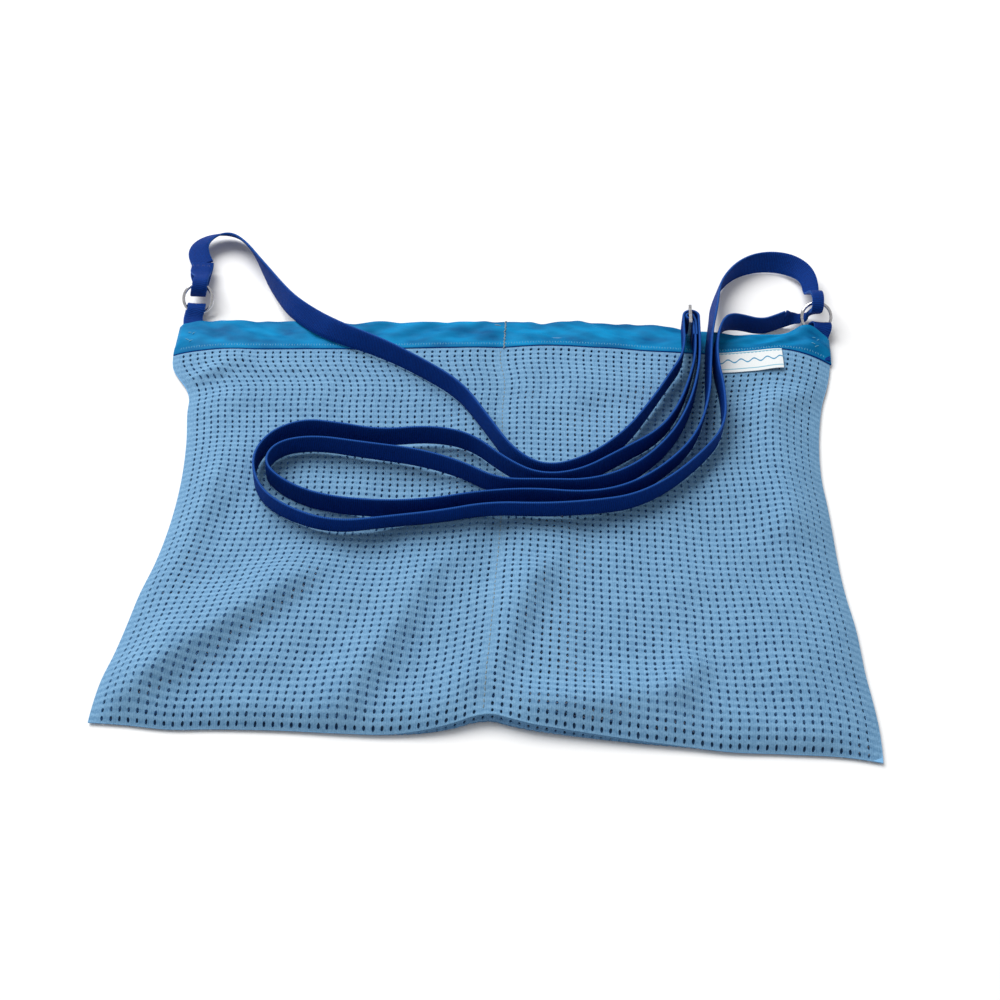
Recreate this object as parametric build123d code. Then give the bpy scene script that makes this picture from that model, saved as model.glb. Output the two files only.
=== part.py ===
"""Small flat shoulder bag: two perforated knit panels sewn round three sides, a satin
binding round the mouth, a centre seam that makes two pockets, and one adjustable webbing
strap on two rings and a slider. The bag lies on its back with the mouth towards +Y.

Units are millimetres. +X is to the right, +Y towards the mouth, +Z up. The origin is on
the surface under the middle of the bag and its rings, without the loose strap.
"""

import math
import os

from build123d import *

os.makedirs("parts", exist_ok=True)

# Driving sizes of the bag
HALF_WIDTH = 177.0
BAG_LENGTH = 260.0
BOTTOM_Y = -140.5
MOUTH_Y = BOTTOM_Y + BAG_LENGTH
BINDING_HEIGHT = 20.0
BINDING_Y = MOUTH_Y - BINDING_HEIGHT
PANEL_T = 1.0
SEAM_WIDTH = 6.0

# Heights of the front panel's underside
SEAM_Z = 2.2
ROOF_Z = 7.3
VALLEY_Z = PANEL_T
RAMP = 22.0
VALLEY_FLAT = 2.0
VALLEY_HALF = 26.0

# Binding: folded over each panel's top edge, with the edge inside it
BINDING_T = 1.6
TONGUE_T = 0.6
TONGUE_LENGTH = 16.5
TONGUE_INSET = 2.0
BINDING_SEAM_Z = 4.3
BINDING_VALLEY_Z = 1.9
BINDING_FLANGE = 14.0

# Webbing, and the tabs made from it
WEB_WIDTH = 12.0
WEB_T = 1.3
TAB_T = 1.2
TAB_X = 169.5
TAB_START_Y = MOUTH_Y - 17.0
TAB_EYE_Y = MOUTH_Y + 8.9
TAB_EYE_Z = 4.1
EYE_R = 2.8

# Rings: round wire, standing at a slant in the tabs
RING_R = 8.0
RING_WIRE_R = 0.9
RING_TILT = 40.0
RING_SEAT = 1.35

# Slider: a flat frame with three bars, standing on edge with the strap
SLIDER_X = 99.0
SLIDER_Y = MOUTH_Y - 3.0
SLIDER_Z = 17.2
SLIDER_T = 1.6
SLIDER_LENGTH = 13.6
SLIDER_HEIGHT = 16.0
SLOT_LENGTH = 4.4
SLOT_HEIGHT = 12.8
SLIDER_LEG = 14.0

# Thread
THREAD = 0.5
THREAD_T = 0.25
THREAD_LIFT = 0.02

# Label under the binding
LABEL_X = 107.0
LABEL_WIDTH = 42.0
LABEL_HEIGHT = 16.0
LABEL_T = 0.4

# Height of the strap's centre where it stands on the bag and on the surface below
ON_BAG = 9.5 + WEB_WIDTH / 2
OVER_EDGE = 9.8 + WEB_WIDTH / 2
ON_TABLE = 0.3 + WEB_WIDTH / 2

# The bag's left and right edges: y, left x, right x
EDGES = [
    (BOTTOM_Y, -HALF_WIDTH, HALF_WIDTH),
    (BOTTOM_Y + SEAM_WIDTH, -HALF_WIDTH, HALF_WIDTH),
    (-112.0, -173.0, 176.0),
    (-60.0, -164.0, 170.0),
    (5.0, -159.0, 164.0),
    (74.0, -165.0, 167.0),
    (BINDING_Y, -HALF_WIDTH, HALF_WIDTH),
]


def save(shape, name):
    """Writes one node's STEP file."""
    shape.label = name
    export_step(shape, f"parts/{name}.step")


def block(x0, x1, y0, y1, z0, z1):
    """A box between two corners."""
    centre = ((x0 + x1) / 2, (y0 + y1) / 2, (z0 + z1) / 2)
    return Pos(*centre) * Box(x1 - x0, y1 - y0, z1 - z0)


def group(solids):
    """Separate solids that share one node."""
    return Compound(children=list(solids))


def underside(left, right, edge_z, roof_z, valley_z, flange):
    """The front's underside across the bag: side flanges, two pockets, the valley between."""
    return [
        (left, edge_z),
        (left + flange, edge_z),
        (left + flange + RAMP, roof_z),
        (-VALLEY_HALF, roof_z),
        (-VALLEY_FLAT, valley_z),
        (VALLEY_FLAT, valley_z),
        (VALLEY_HALF, roof_z),
        (right - flange - RAMP, roof_z),
        (right - flange, edge_z),
        (right, edge_z),
    ]


def strip_face(y, points, thickness):
    """A face across the bag at y, from the underside up by the thickness."""
    below = [Vector(x, y, z) for x, z in points]
    above = [Vector(x, y, z + thickness) for x, z in reversed(points)]
    return make_face(Polyline(*below, *above, close=True))


def skin(faces):
    """Straight-sided solid through the faces, two at a time."""
    spans = [loft([a, b], ruled=True) for a, b in zip(faces, faces[1:])]
    whole = spans[0]
    for span in spans[1:]:
        whole = whole + span
    return whole


def front_stations():
    """The front panel's underside at each station along the bag."""
    stations = []
    for y, left, right in EDGES:
        if y <= BOTTOM_Y + SEAM_WIDTH:
            heights = (SEAM_Z, SEAM_Z, SEAM_Z, SEAM_WIDTH)
        elif y < BINDING_Y:
            heights = (SEAM_Z, ROOF_Z, VALLEY_Z, SEAM_WIDTH)
        else:
            heights = (BINDING_SEAM_Z, ROOF_Z, BINDING_VALLEY_Z, BINDING_FLANGE)
        stations.append((y, underside(left, right, *heights)))
    return stations


def binding_underside(inset, drop):
    """The front binding's section, drawn in by an inset and lowered by a drop."""
    flange = BINDING_FLANGE - inset
    heights = (BINDING_SEAM_Z - drop, ROOF_Z - drop, BINDING_VALLEY_Z - drop, flange)
    return underside(-HALF_WIDTH + inset, HALF_WIDTH - inset, *heights)


def binding_top(x):
    """Height and slope in degrees of the front binding's top at x."""
    points = binding_underside(0.0, (BINDING_T - PANEL_T) / 2)
    for (x0, z0), (x1, z1) in zip(points, points[1:]):
        if x0 <= x <= x1:
            slope = (z1 - z0) / (x1 - x0)
            return z0 + slope * (x - x0) + BINDING_T, math.degrees(math.atan(slope))
    raise ValueError(x)


def dash(x, y, z, length, slope=0.0, turn=0.0, width=THREAD):
    """One stitch lying on a face at x, y, z, along X before it is turned."""
    stitch = Pos(0, 0, THREAD_LIFT + THREAD_T / 2) * Box(length, width, THREAD_T)
    return Pos(x, y, z) * Rot(0, -slope, turn) * stitch


def make_panels():
    """Back and front knit panels with their side and bottom seams."""
    left_side = [(left, y) for y, left, right in EDGES]
    right_side = [(right, y) for y, left, right in reversed(EDGES)]
    outline = make_face(Polyline(*left_side, *right_side, close=True))
    back = extrude(outline, PANEL_T)
    tongue_z = (BINDING_T - TONGUE_T) / 2
    reach = HALF_WIDTH - TONGUE_INSET
    tongue_top = tongue_z + TONGUE_T
    back += block(-reach, reach, BINDING_Y, BINDING_Y + TONGUE_LENGTH, tongue_z, tongue_top)
    save(back, "back_panel")

    faces = [strip_face(y, points, PANEL_T) for y, points in front_stations()]
    front_tongue = binding_tongue()
    save(skin(faces) + front_tongue, "front_panel")

    sides = (("left_side_seam", 0, 1), ("right_side_seam", 1, -1))
    for name, side, inward in sides:
        sections = []
        for y, *edges in EDGES:
            top = BINDING_SEAM_Z if y >= BINDING_Y else SEAM_Z
            outer = edges[side]
            inner = outer + inward * SEAM_WIDTH
            corners = [(outer, PANEL_T), (inner, PANEL_T), (inner, top), (outer, top)]
            points = [Vector(x, y, z) for x, z in corners]
            sections.append(make_face(Polyline(*points, close=True)))
        save(skin(sections), name)
    reach = HALF_WIDTH - SEAM_WIDTH
    seam = block(-reach, reach, BOTTOM_Y, BOTTOM_Y + SEAM_WIDTH, PANEL_T, SEAM_Z)
    save(seam, "bottom_seam")


def binding_tongue():
    """The front panel's top edge, thinner where the binding holds it."""
    points = binding_underside(TONGUE_INSET, -(PANEL_T - TONGUE_T) / 2)
    ends = (BINDING_Y, BINDING_Y + TONGUE_LENGTH)
    return loft([strip_face(y, points, TONGUE_T) for y in ends], ruled=True)


def make_bindings():
    """Satin binding over the top edge of each panel."""
    tongue_z = (BINDING_T - TONGUE_T) / 2
    reach = HALF_WIDTH - TONGUE_INSET
    back = block(-HALF_WIDTH, HALF_WIDTH, BINDING_Y, MOUTH_Y, 0, BINDING_T)
    tongue_end = BINDING_Y + TONGUE_LENGTH
    back -= block(-reach, reach, BINDING_Y, tongue_end, tongue_z, tongue_z + TONGUE_T)
    save(back, "back_binding")
    points = binding_underside(0.0, (BINDING_T - PANEL_T) / 2)
    faces = [strip_face(y, points, BINDING_T) for y in (BINDING_Y, MOUTH_Y)]
    save(loft(faces, ruled=True) - binding_tongue(), "front_binding")


def make_bag_threads():
    """Topstitching, the centre seam, its bartack and the tab stitches."""
    pitch = 5.0
    long = 3.0
    line_y = BINDING_Y + 2.0
    count = int((HALF_WIDTH - 8.0) / pitch)
    kinks = [abs(x) for x, z in binding_underside(0.0, 0.0)]
    front = []
    back = []
    for i in range(-count, count + 1):
        x = i * pitch
        if i:
            back.append(dash(x, line_y, BINDING_T, long))
        if min(abs(abs(x) - kink) for kink in kinks) > long / 2 + 0.2:
            z, slope = binding_top(x)
            front.append(dash(x, line_y, z, long, slope))
    save(group(front), "front_binding_thread")
    save(group(back), "back_binding_thread")

    first = -108.0
    last = 70.0
    seam = []
    for i in range(int((last - first) / pitch) + 1):
        seam.append(dash(0, first + i * pitch, VALLEY_Z + PANEL_T, long, turn=90))
    save(group(seam), "centre_seam_thread")

    top, slope = binding_top(0.0)
    tack = []
    for i in range(8):
        tack.append(dash(0, BINDING_Y + 3.0 + i * 2.0, top, 3.2, turn=18.0))
    save(group(tack), "centre_bartack")

    for name, x in (("left_tab_thread", -TAB_X), ("right_tab_thread", TAB_X)):
        z, slope = binding_top(x)
        rows = [dash(x, TAB_START_Y + 3.0 + i * 4.0, z, 8.0) for i in range(3)]
        save(group(rows), name)


def make_label():
    """Plain woven label hanging from under the binding, with its stitches."""
    top = ROOF_Z + PANEL_T
    low = BINDING_Y - LABEL_HEIGHT
    right = LABEL_X + LABEL_WIDTH
    save(block(LABEL_X, right, low, BINDING_Y, top, top + LABEL_T), "woven_label")
    stitches = []
    for i in range(10):
        stitches.append(dash(LABEL_X + 3.0 + i * 4.0, BINDING_Y - 1.5, top + LABEL_T, 2.4))
    save(group(stitches), "label_thread")


def ring_direction():
    """Y and Z parts of the line from a ring's near side to its far side."""
    tilt = math.radians(RING_TILT)
    return math.cos(tilt), math.sin(tilt)


def ring_near():
    """Y and Z of the ring wire's centre inside the tab."""
    along, up = ring_direction()
    return TAB_EYE_Y - RING_SEAT * along, TAB_EYE_Z - RING_SEAT * up


def ring_far():
    """Y and Z of the ring wire's centre on the strap's side."""
    along, up = ring_direction()
    y, z = ring_near()
    return y + 2 * RING_R * along, z + 2 * RING_R * up


def side_plate(sketch, x):
    """Extrudes a sketch drawn in Y and Z to the webbing's width, centred at x."""
    return Pos(x - WEB_WIDTH / 2, 0, 0) * extrude(Plane.YZ * sketch, WEB_WIDTH)


def make_hardware():
    """Ring tabs, rings and the slider's frame."""
    eye = Pos(TAB_EYE_Y, TAB_EYE_Z) * Circle(EYE_R + TAB_T)
    legs_length = TAB_EYE_Y - TAB_START_Y
    legs = Pos(TAB_START_Y + legs_length / 2, BINDING_T + TAB_T) * Rectangle(legs_length, 2 * TAB_T)
    hole = Pos(TAB_EYE_Y, TAB_EYE_Z) * Circle(EYE_R)
    tab = eye + legs - hole
    near_y, near_z = ring_near()
    along, up = ring_direction()
    centre_y = near_y + RING_R * along
    centre_z = near_z + RING_R * up
    for side, x in (("left", -TAB_X), ("right", TAB_X)):
        save(side_plate(tab, x), f"{side}_ring_tab")
        ring = Pos(x, centre_y, centre_z) * Rot(RING_TILT, 0, 0) * Torus(RING_R, RING_WIRE_R)
        save(ring, f"{side}_ring")

    plate = Box(SLIDER_T, SLIDER_LENGTH, SLIDER_HEIGHT)
    slot_y = (SLOT_LENGTH + SLIDER_T) / 2
    for y in (-slot_y, slot_y):
        plate -= Pos(0, y, 0) * Box(SLIDER_T, SLOT_LENGTH, SLOT_HEIGHT)
    upright = plate.edges().filter_by(Axis.X)
    plate = fillet(upright.group_by(Axis.Y)[0] + upright.group_by(Axis.Y)[-1], 1.2)
    save(Pos(SLIDER_X, SLIDER_Y, SLIDER_Z) * plate, "slider_frame")


def make_strap_fittings():
    """The strap where it is folded and sewn: at the left ring, the slider and the right ring."""
    far_y, far_z = ring_far()
    inner = [
        (far_y - 3.9, far_z - 0.6),
        (far_y - 1.2, far_z + 2.2),
        (far_y + 3.0, far_z + 1.4),
        (LOOP_END_Y - 7.0, ON_TABLE + 0.1),
        (far_y + 3.5, far_z - 6.6),
        (far_y - 2.2, far_z - 5.8),
    ]
    eye = make_face(Polyline(*inner, close=True))
    tail = Pos(LOOP_END_Y - 4.5, ON_TABLE) * Rectangle(9.0, 2 * WEB_T)
    loop = offset(eye, WEB_T) + tail - eye
    save(side_plate(loop, -TAB_X), "strap_ring_loop")
    rows = []
    for turn in (-24.0, 24.0, 90.0):
        rows.append(dash(-TAB_X, LOOP_END_Y - 2.7, ON_TABLE + WEB_T, 4.4, turn=turn))
    save(rows[0] + rows[1] + rows[2], "strap_ring_thread")

    bar_clear = SLIDER_T / 2 + 0.35
    ring = Circle(bar_clear + WEB_T) - Circle(bar_clear)
    double = Pos(bar_clear + WEB_T, -SLIDER_LEG / 2) * Rectangle(2 * WEB_T, SLIDER_LEG)
    loop = ring + double - Circle(bar_clear)
    low_z = SLIDER_Z - WEB_WIDTH / 2
    save(Pos(SLIDER_X, SLIDER_Y, low_z) * extrude(loop, WEB_WIDTH), "strap_slider_loop")
    tack_x = SLIDER_X + bar_clear - THREAD_LIFT - THREAD_T
    tack = []
    for i in range(3):
        y = SLIDER_Y - SLIDER_LEG + 2.0 + i * 2.0
        tack.append(block(tack_x, tack_x + THREAD_T, y, y + THREAD, low_z + 1.5, low_z + 8.5))
    save(group(tack), "strap_slider_thread")

    left_leg = -(bar_clear + WEB_T + 0.3 + WEB_T / 2)
    right_leg = bar_clear + 2 * WEB_T + 0.3 + WEB_T / 2
    middle = (left_leg + right_leg) / 2
    radius = (right_leg - left_leg) / 2
    half = Circle(radius + WEB_T / 2) - Circle(radius - WEB_T / 2)
    half -= Pos(0, -radius) * Rectangle(4 * radius, 2 * radius)
    turn = Pos(middle, 0) * half
    for x in (left_leg, right_leg):
        turn += Pos(x, -SLIDER_LEG / 2) * Rectangle(WEB_T, SLIDER_LEG)
    save(Pos(SLIDER_X, SLIDER_Y, low_z) * extrude(turn, WEB_WIDTH), "strap_slider_turn")


# Ends of the strap's runs, where they meet the fittings
LOOP_END_Y = 164.0
SLIDER_END_Y = SLIDER_Y - SLIDER_LEG
LEFT_LEG_X = SLIDER_X - 3.4
SEWN_LEG_X = SLIDER_X + 2.45
RIGHT_LEG_X = SLIDER_X + 4.7
TURN_START = (168.5, 158.0, 7.0)
TURN_END = (152.0, 133.5, ON_TABLE)

# Left run: from the left ring's loop, over the mouth and across the bag to the slider
LEFT_RUN = [
    (-TAB_X, LOOP_END_Y, ON_TABLE),
    (-175.5, 173.5, ON_TABLE),
    (-174, 184, ON_TABLE),
    (-165.5, 190, ON_TABLE),
    (-155, 189, ON_TABLE),
    (-146, 180.5, ON_TABLE),
    (-135, 161, 6.6),
    (-125.5, 141, 10.0),
    (-114, 122, OVER_EDGE),
    (-94, 107, OVER_EDGE),
    (-64, 93, ON_BAG),
    (-40, 78, ON_BAG),
    (-20, 63, ON_BAG),
    (-6, 41, ON_BAG),
    (8, 18, ON_BAG),
    (25, 7, ON_BAG),
    (46, 15, ON_BAG),
    (65, 34, ON_BAG),
    (77, 55, ON_BAG),
    (87, 74, 16.0),
    (LEFT_LEG_X, 90, SLIDER_Z),
    (LEFT_LEG_X, SLIDER_END_Y, SLIDER_Z),
]

# Middle run: from the slider, round its loop on the bag, over the mouth to the right ring
MIDDLE_RUN = [
    (RIGHT_LEG_X, SLIDER_END_Y, SLIDER_Z),
    (RIGHT_LEG_X, 90, SLIDER_Z),
    (101.5, 72, 16.0),
    (96.5, 52, ON_BAG),
    (87, 31, ON_BAG),
    (70, 11, ON_BAG),
    (48, 0, ON_BAG),
    (24, -0.5, ON_BAG),
    (2, -1.5, ON_BAG),
    (-16, 9, ON_BAG),
    (-38, 16.5, ON_BAG),
    (-66, 20, ON_BAG),
    (-92, 24, ON_BAG),
    (-110, 19, ON_BAG),
    (-115, 5.5, ON_BAG),
    (-104, -6.5, ON_BAG),
    (-84, -15.5, ON_BAG),
    (-56, -18, ON_BAG),
    (-30, -15.5, ON_BAG),
    (-8, -9.5, ON_BAG),
    (18, -6, ON_BAG),
    (46, -7.5, ON_BAG),
    (66, -1.5, ON_BAG),
    (84, 12.5, ON_BAG),
    (100, 32.5, ON_BAG),
    (108, 58.5, ON_BAG),
    (109.5, 84, ON_BAG),
    (110.5, 106, OVER_EDGE),
    (112.5, 125, OVER_EDGE),
    (114.5, 142, 10.5),
    (118, 158, 6.6),
    (127, 172, ON_TABLE),
    (140, 179.5, ON_TABLE),
    (154, 180, ON_TABLE),
    (164, 174.5, 6.5),
    (168.5, 165.5, 7.0),
    TURN_START,
]

# Right run: from the sewn end at the slider, round the outer loop, to the right ring
RIGHT_RUN = [
    (SEWN_LEG_X, SLIDER_END_Y, SLIDER_Z),
    (SEWN_LEG_X, 90, SLIDER_Z),
    (97.5, 72, 16.0),
    (91.5, 53, ON_BAG),
    (81, 35, ON_BAG),
    (62, 21, ON_BAG),
    (42, 6, ON_BAG),
    (22, 2.5, ON_BAG),
    (5, 12, ON_BAG),
    (-13, 28.5, ON_BAG),
    (-34, 32.5, ON_BAG),
    (-58, 28.5, ON_BAG),
    (-80, 32.5, ON_BAG),
    (-98, 34.5, ON_BAG),
    (-114, 25.5, ON_BAG),
    (-121, 8.5, ON_BAG),
    (-115, -10.5, ON_BAG),
    (-100, -22.5, ON_BAG),
    (-76, -30.5, ON_BAG),
    (-50, -25.5, ON_BAG),
    (-26, -21.5, ON_BAG),
    (-2, -15, ON_BAG),
    (26, -15, ON_BAG),
    (50, -12, ON_BAG),
    (68, -8, ON_BAG),
    (85, 3, ON_BAG),
    (103, 21, ON_BAG),
    (117, 40, ON_BAG),
    (118.5, 65, ON_BAG),
    (115.5, 88, ON_BAG),
    (116.5, 108, OVER_EDGE),
    (119.5, 125, OVER_EDGE),
    (127, 133.5, 11.0),
    (140, 133.5, ON_TABLE),
    TURN_END,
]

# Through the right ring: the webbing bunches into a round strand
RING_TURN = [
    TURN_START,
    (168.5, 153.0, 7.0),
    (169.2, 146.7, 15.7),
    (169.5, 139.0, 18.9),
    (169.3, 132.6, 15.1),
    (168.6, 136.0, 10.1),
    (166.8, 140.0, 5.6),
    (162.4, 136.8, 3.2),
    (157.5, 133.5, ON_TABLE),
    TURN_END,
]


def tangent_path(points):
    """Straight runs joined by arcs as large as each corner's two runs allow."""
    points = [Vector(*p) for p in points]
    radii = []
    for before, at, after in zip(points, points[1:], points[2:]):
        run_in = at - before
        run_out = after - at
        half_turn = math.radians(run_in.get_angle(run_out)) / 2
        radii.append(0.45 * min(run_in.length, run_out.length) / math.tan(half_turn))
    return FilletPolyline(*points, radius=radii), radii


def make_run(points, name):
    """One run of webbing standing on edge along its path."""
    path, radii = tangent_path(points)
    heading = path % 0
    across = Vector(-heading.Y, heading.X, 0).normalized()
    section = Plane(origin=path @ 0, x_dir=across, z_dir=heading) * Rectangle(WEB_T, WEB_WIDTH)
    run = sweep(section, path=path)
    ratio = run.volume / (WEB_T * WEB_WIDTH * path.length)
    print(name, "length", round(path.length, 1), "volume ratio", round(ratio, 3))
    print("  smallest radii", [round(r, 1) for r in sorted(radii)[:6]])
    save(run, name)


def make_ring_turn():
    """The strand through the right ring, with the webbing's area in a round section."""
    path, radii = tangent_path(RING_TURN)
    radius = math.sqrt(WEB_T * WEB_WIDTH / math.pi)
    strand = sweep(Plane(origin=path @ 0, z_dir=path % 0) * Circle(radius), path=path)
    print("ring turn length", round(path.length, 1), [round(r, 1) for r in radii])
    save(strand, "strap_ring_turn")


make_panels()
make_bindings()
make_bag_threads()
make_label()
make_hardware()
make_strap_fittings()
make_run(LEFT_RUN, "strap_left_run")
make_run(MIDDLE_RUN, "strap_middle_run")
make_run(RIGHT_RUN, "strap_right_run")
make_ring_turn()
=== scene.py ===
"""Looks of a small flat shoulder bag lying on its back, with its webbing strap laid over it.

Two perforated knit panels are sewn round three sides and along the middle. A satin binding
closes the mouth, and one adjustable webbing strap hangs on two rings and a slider. Every
size is in metres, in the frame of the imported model: +X to the right, +Y to the mouth, +Z up.
"""
import logging
import math
from dataclasses import dataclass
from enum import Enum
from typing import Callable, Iterable, Sequence

import bpy
import numpy as np
from mathutils import Euler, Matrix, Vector


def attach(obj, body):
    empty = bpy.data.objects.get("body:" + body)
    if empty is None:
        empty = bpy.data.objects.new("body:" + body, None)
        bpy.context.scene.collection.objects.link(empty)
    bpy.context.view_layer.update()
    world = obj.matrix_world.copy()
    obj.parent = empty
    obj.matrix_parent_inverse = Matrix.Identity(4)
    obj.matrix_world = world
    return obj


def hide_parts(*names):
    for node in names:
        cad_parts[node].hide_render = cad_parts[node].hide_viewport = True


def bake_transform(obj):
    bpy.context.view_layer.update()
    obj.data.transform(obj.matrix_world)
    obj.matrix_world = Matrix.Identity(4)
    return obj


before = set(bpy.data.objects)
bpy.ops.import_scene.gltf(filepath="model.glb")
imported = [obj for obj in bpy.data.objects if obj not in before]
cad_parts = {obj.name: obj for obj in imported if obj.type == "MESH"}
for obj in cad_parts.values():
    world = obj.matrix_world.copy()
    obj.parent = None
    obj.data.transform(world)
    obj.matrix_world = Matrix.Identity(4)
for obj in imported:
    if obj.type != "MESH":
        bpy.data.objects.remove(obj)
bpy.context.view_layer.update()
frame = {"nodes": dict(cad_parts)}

LOG = logging.getLogger("bag")
MM = 0.001
PANEL_RUN = 0.243
PANEL_SPAN = 0.335
MOUTH_SPAN = 0.354
FRONT_MOUTH = (-0.1775, 0.3535)
BACK_MOUTH = (-0.1768, 0.3524)
THREAD_RUN = 0.232
Colour = tuple[float, float, float]
Point = tuple[float, float, float]


def srgb(red: int, green: int, blue: int) -> Colour:
    """Turns a screen colour of 0 to 255 into linear light.

    Args:
        red: red part.
        green: green part.
        blue: blue part.

    Returns:
        The colour in linear light.
    """
    shares = (part / 255 for part in (red, green, blue))
    return tuple(s / 12.92 if s <= 0.04045 else ((s + 0.055) / 1.055) ** 2.4 for s in shares)


# ---------------------------------------------------------------- shader expressions


class Wire:
    """A shader socket that takes part in Python expressions on plain values."""

    def __init__(self, tree: "Recipe", socket: bpy.types.NodeSocket) -> None:
        """Keeps the socket and the recipe that it belongs to.

        Args:
            tree: the recipe that adds the nodes.
            socket: the output socket.
        """
        self.tree = tree
        self.socket = socket

    def _with(self, operation: str, *values: "Wire | float") -> "Wire":
        """Adds one Math node on the values in order."""
        return self.tree.node("ShaderNodeMath", {"operation": operation}, dict(enumerate(values)))

    def __add__(self, other: "Wire | float") -> "Wire":
        """Sum."""
        return self._with("ADD", self, other)

    def __radd__(self, other: float) -> "Wire":
        """Sum with the number first."""
        return self._with("ADD", other, self)

    def __sub__(self, other: "Wire | float") -> "Wire":
        """Difference."""
        return self._with("SUBTRACT", self, other)

    def __rsub__(self, other: float) -> "Wire":
        """Difference with the number first."""
        return self._with("SUBTRACT", other, self)

    def __mul__(self, other: "Wire | float") -> "Wire":
        """Product."""
        return self._with("MULTIPLY", self, other)

    def __rmul__(self, other: float) -> "Wire":
        """Product with the number first."""
        return self._with("MULTIPLY", other, self)

    def __truediv__(self, other: "Wire | float") -> "Wire":
        """Quotient."""
        return self._with("DIVIDE", self, other)

    def sine(self) -> "Wire":
        """Sine of the value in radians."""
        return self._with("SINE", self)

    def size(self) -> "Wire":
        """Value without its sign."""
        return self._with("ABSOLUTE", self)

    def clip(self) -> "Wire":
        """Value held between 0 and 1."""
        return self.tree.node("ShaderNodeClamp", {}, {"Value": self, "Min": 0.0, "Max": 1.0})

    def step(self, low: float, high: float) -> "Wire":
        """Smooth step from 0 at low to 1 at high.

        Args:
            low: where the step starts.
            high: where it ends.

        Returns:
            The stepped value.
        """
        sockets = {"Value": self, "From Min": low, "From Max": high}
        return self.tree.node("ShaderNodeMapRange", {"interpolation_type": "SMOOTHSTEP"}, sockets)


class Recipe:
    """A material's node tree, built from expressions."""

    def __init__(self, name: str) -> None:
        """Makes an empty material.

        Args:
            name: the material's name.
        """
        self.material = bpy.data.materials.new(name)
        self.material.use_nodes = True
        self.nodes = self.material.node_tree.nodes
        self.links = self.material.node_tree.links
        self.nodes.clear()

    def node(self, kind: str, settings: dict, sockets: dict, output: int | str = 0) -> Wire:
        """Adds one node of any type.

        Args:
            kind: the node's type.
            settings: properties, set first.
            sockets: values or wires for its input sockets, by name or number.
            output: the output socket wanted.

        Returns:
            The output as a wire.
        """
        made = self.nodes.new(kind)
        for name, value in settings.items():
            setattr(made, name, value)
        for name, value in sockets.items():
            if isinstance(value, Wire):
                self.links.new(value.socket, made.inputs[name])
            elif isinstance(value, tuple) and made.inputs[name].type == "RGBA":
                made.inputs[name].default_value = (*value, 1.0)
            else:
                made.inputs[name].default_value = value
        return Wire(self, made.outputs[output])

    def place(self) -> Wire:
        """Position on the object, in metres."""
        return self.node("ShaderNodeTexCoord", {}, {}, "Object")

    def stored(self, name: str) -> tuple[Wire, Wire, Wire]:
        """Three parts of a vector that the mesh stores at its points."""
        vector = self.node("ShaderNodeAttribute", {"attribute_name": name}, {}, "Vector")
        return tuple(self.node("ShaderNodeSeparateXYZ", {}, {0: vector}, i) for i in range(3))

    def noise(self, where: Wire, scale: float, detail: float = 2.0, rough: float = 0.5) -> Wire:
        """Soft noise from 0 to 1, about one lump for each 1/scale metres."""
        sockets = {"Vector": where, "Scale": scale, "Detail": detail, "Roughness": rough}
        return self.node("ShaderNodeTexNoise", {}, sockets)

    def vector(self, x: Wire | float, y: Wire | float, z: Wire | float) -> Wire:
        """A vector from its parts."""
        return self.node("ShaderNodeCombineXYZ", {}, {0: x, 1: y, 2: z})

    def blend(self, share: Wire, first: Wire | Colour, second: Wire | Colour) -> Wire:
        """Mixes two colours.

        Args:
            share: 0 for the first, 1 for the second.
            first: a colour.
            second: another colour.

        Returns:
            The mixed colour.
        """
        sockets = {0: share, 6: first, 7: second}
        return self.node("ShaderNodeMix", {"data_type": "RGBA"}, sockets, 2)

    def bump(self, height: Wire, strength: float, distance: float) -> Wire:
        """Normal that follows a height, which is in the given distance's units."""
        sockets = {"Strength": strength, "Distance": distance, "Height": height}
        return self.node("ShaderNodeBump", {}, sockets)

    def surface(self, **sockets: Wire | float | Colour) -> bpy.types.Material:
        """Ends the material with one principled surface.

        Args:
            **sockets: its sockets, with an underscore for each space.

        Returns:
            The finished material.
        """
        named = {name.replace("_", " "): value for name, value in sockets.items()}
        shaded = self.node("ShaderNodeBsdfPrincipled", {}, named)
        end = self.nodes.new("ShaderNodeOutputMaterial")
        self.links.new(shaded.socket, end.inputs["Surface"])
        return self.material




# ---------------------------------------------------------------- finishes


@dataclass(frozen=True)
class Knit:
    """Matt polyester knit: fine ribs along the bag and mottled grain, with painted shade along the rows of
    holes, painted light on the courses between them, and a painted fill colour on the inner faces and hole
    walls that stands in for the light inside the holes.
    """

    name: str
    light: Colour = srgb(124, 168, 202)
    dark: Colour = srgb(72, 118, 158)
    # Painted fill for the inner faces and hole walls, set apart from the face colour to stand in for the
    # light and shade inside the holes.
    inside: Colour = srgb(138, 194, 236)
    rib: float = 0.95 * MM
    row: float = 243.0 / 68 * MM

    def material(self) -> bpy.types.Material:
        """Builds the cloth's material.

        Returns:
            The new material.
        """
        tree = Recipe(self.name)
        across, along, depth = tree.stored("weave")
        where = tree.place()
        grain = tree.noise(where, 950.0, 3.0, 0.7)
        patches = tree.noise(where, 55.0, 2.0)
        ribs = (across * (2 * math.pi / self.rib)).sine() * 0.5 + 0.5
        # Painted shade along the rows of holes, painted light on the raised courses between them.
        rows = (along * (2 * math.pi / self.row) + 0.5 * math.pi).sine() * 0.5 + 0.5
        tone = (grain * 1.7 + ribs * 0.12 + rows * 0.34 + patches * 0.3 - 0.62).clip()
        face = tree.blend(tone, self.dark, self.light)
        # Inner faces and hole walls take the painted fill colour.
        colour = tree.blend(depth.step(0.05, 0.6), face, self.inside)
        height = grain * 1.0 + ribs * 0.3 + rows * 0.45
        normal = tree.bump(height, 0.5, 0.3 * MM)
        rough = patches * 0.1 + 0.78
        return tree.surface(Base_Color=colour, Roughness=rough, Normal=normal, Specular_IOR_Level=0.2)


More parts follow.
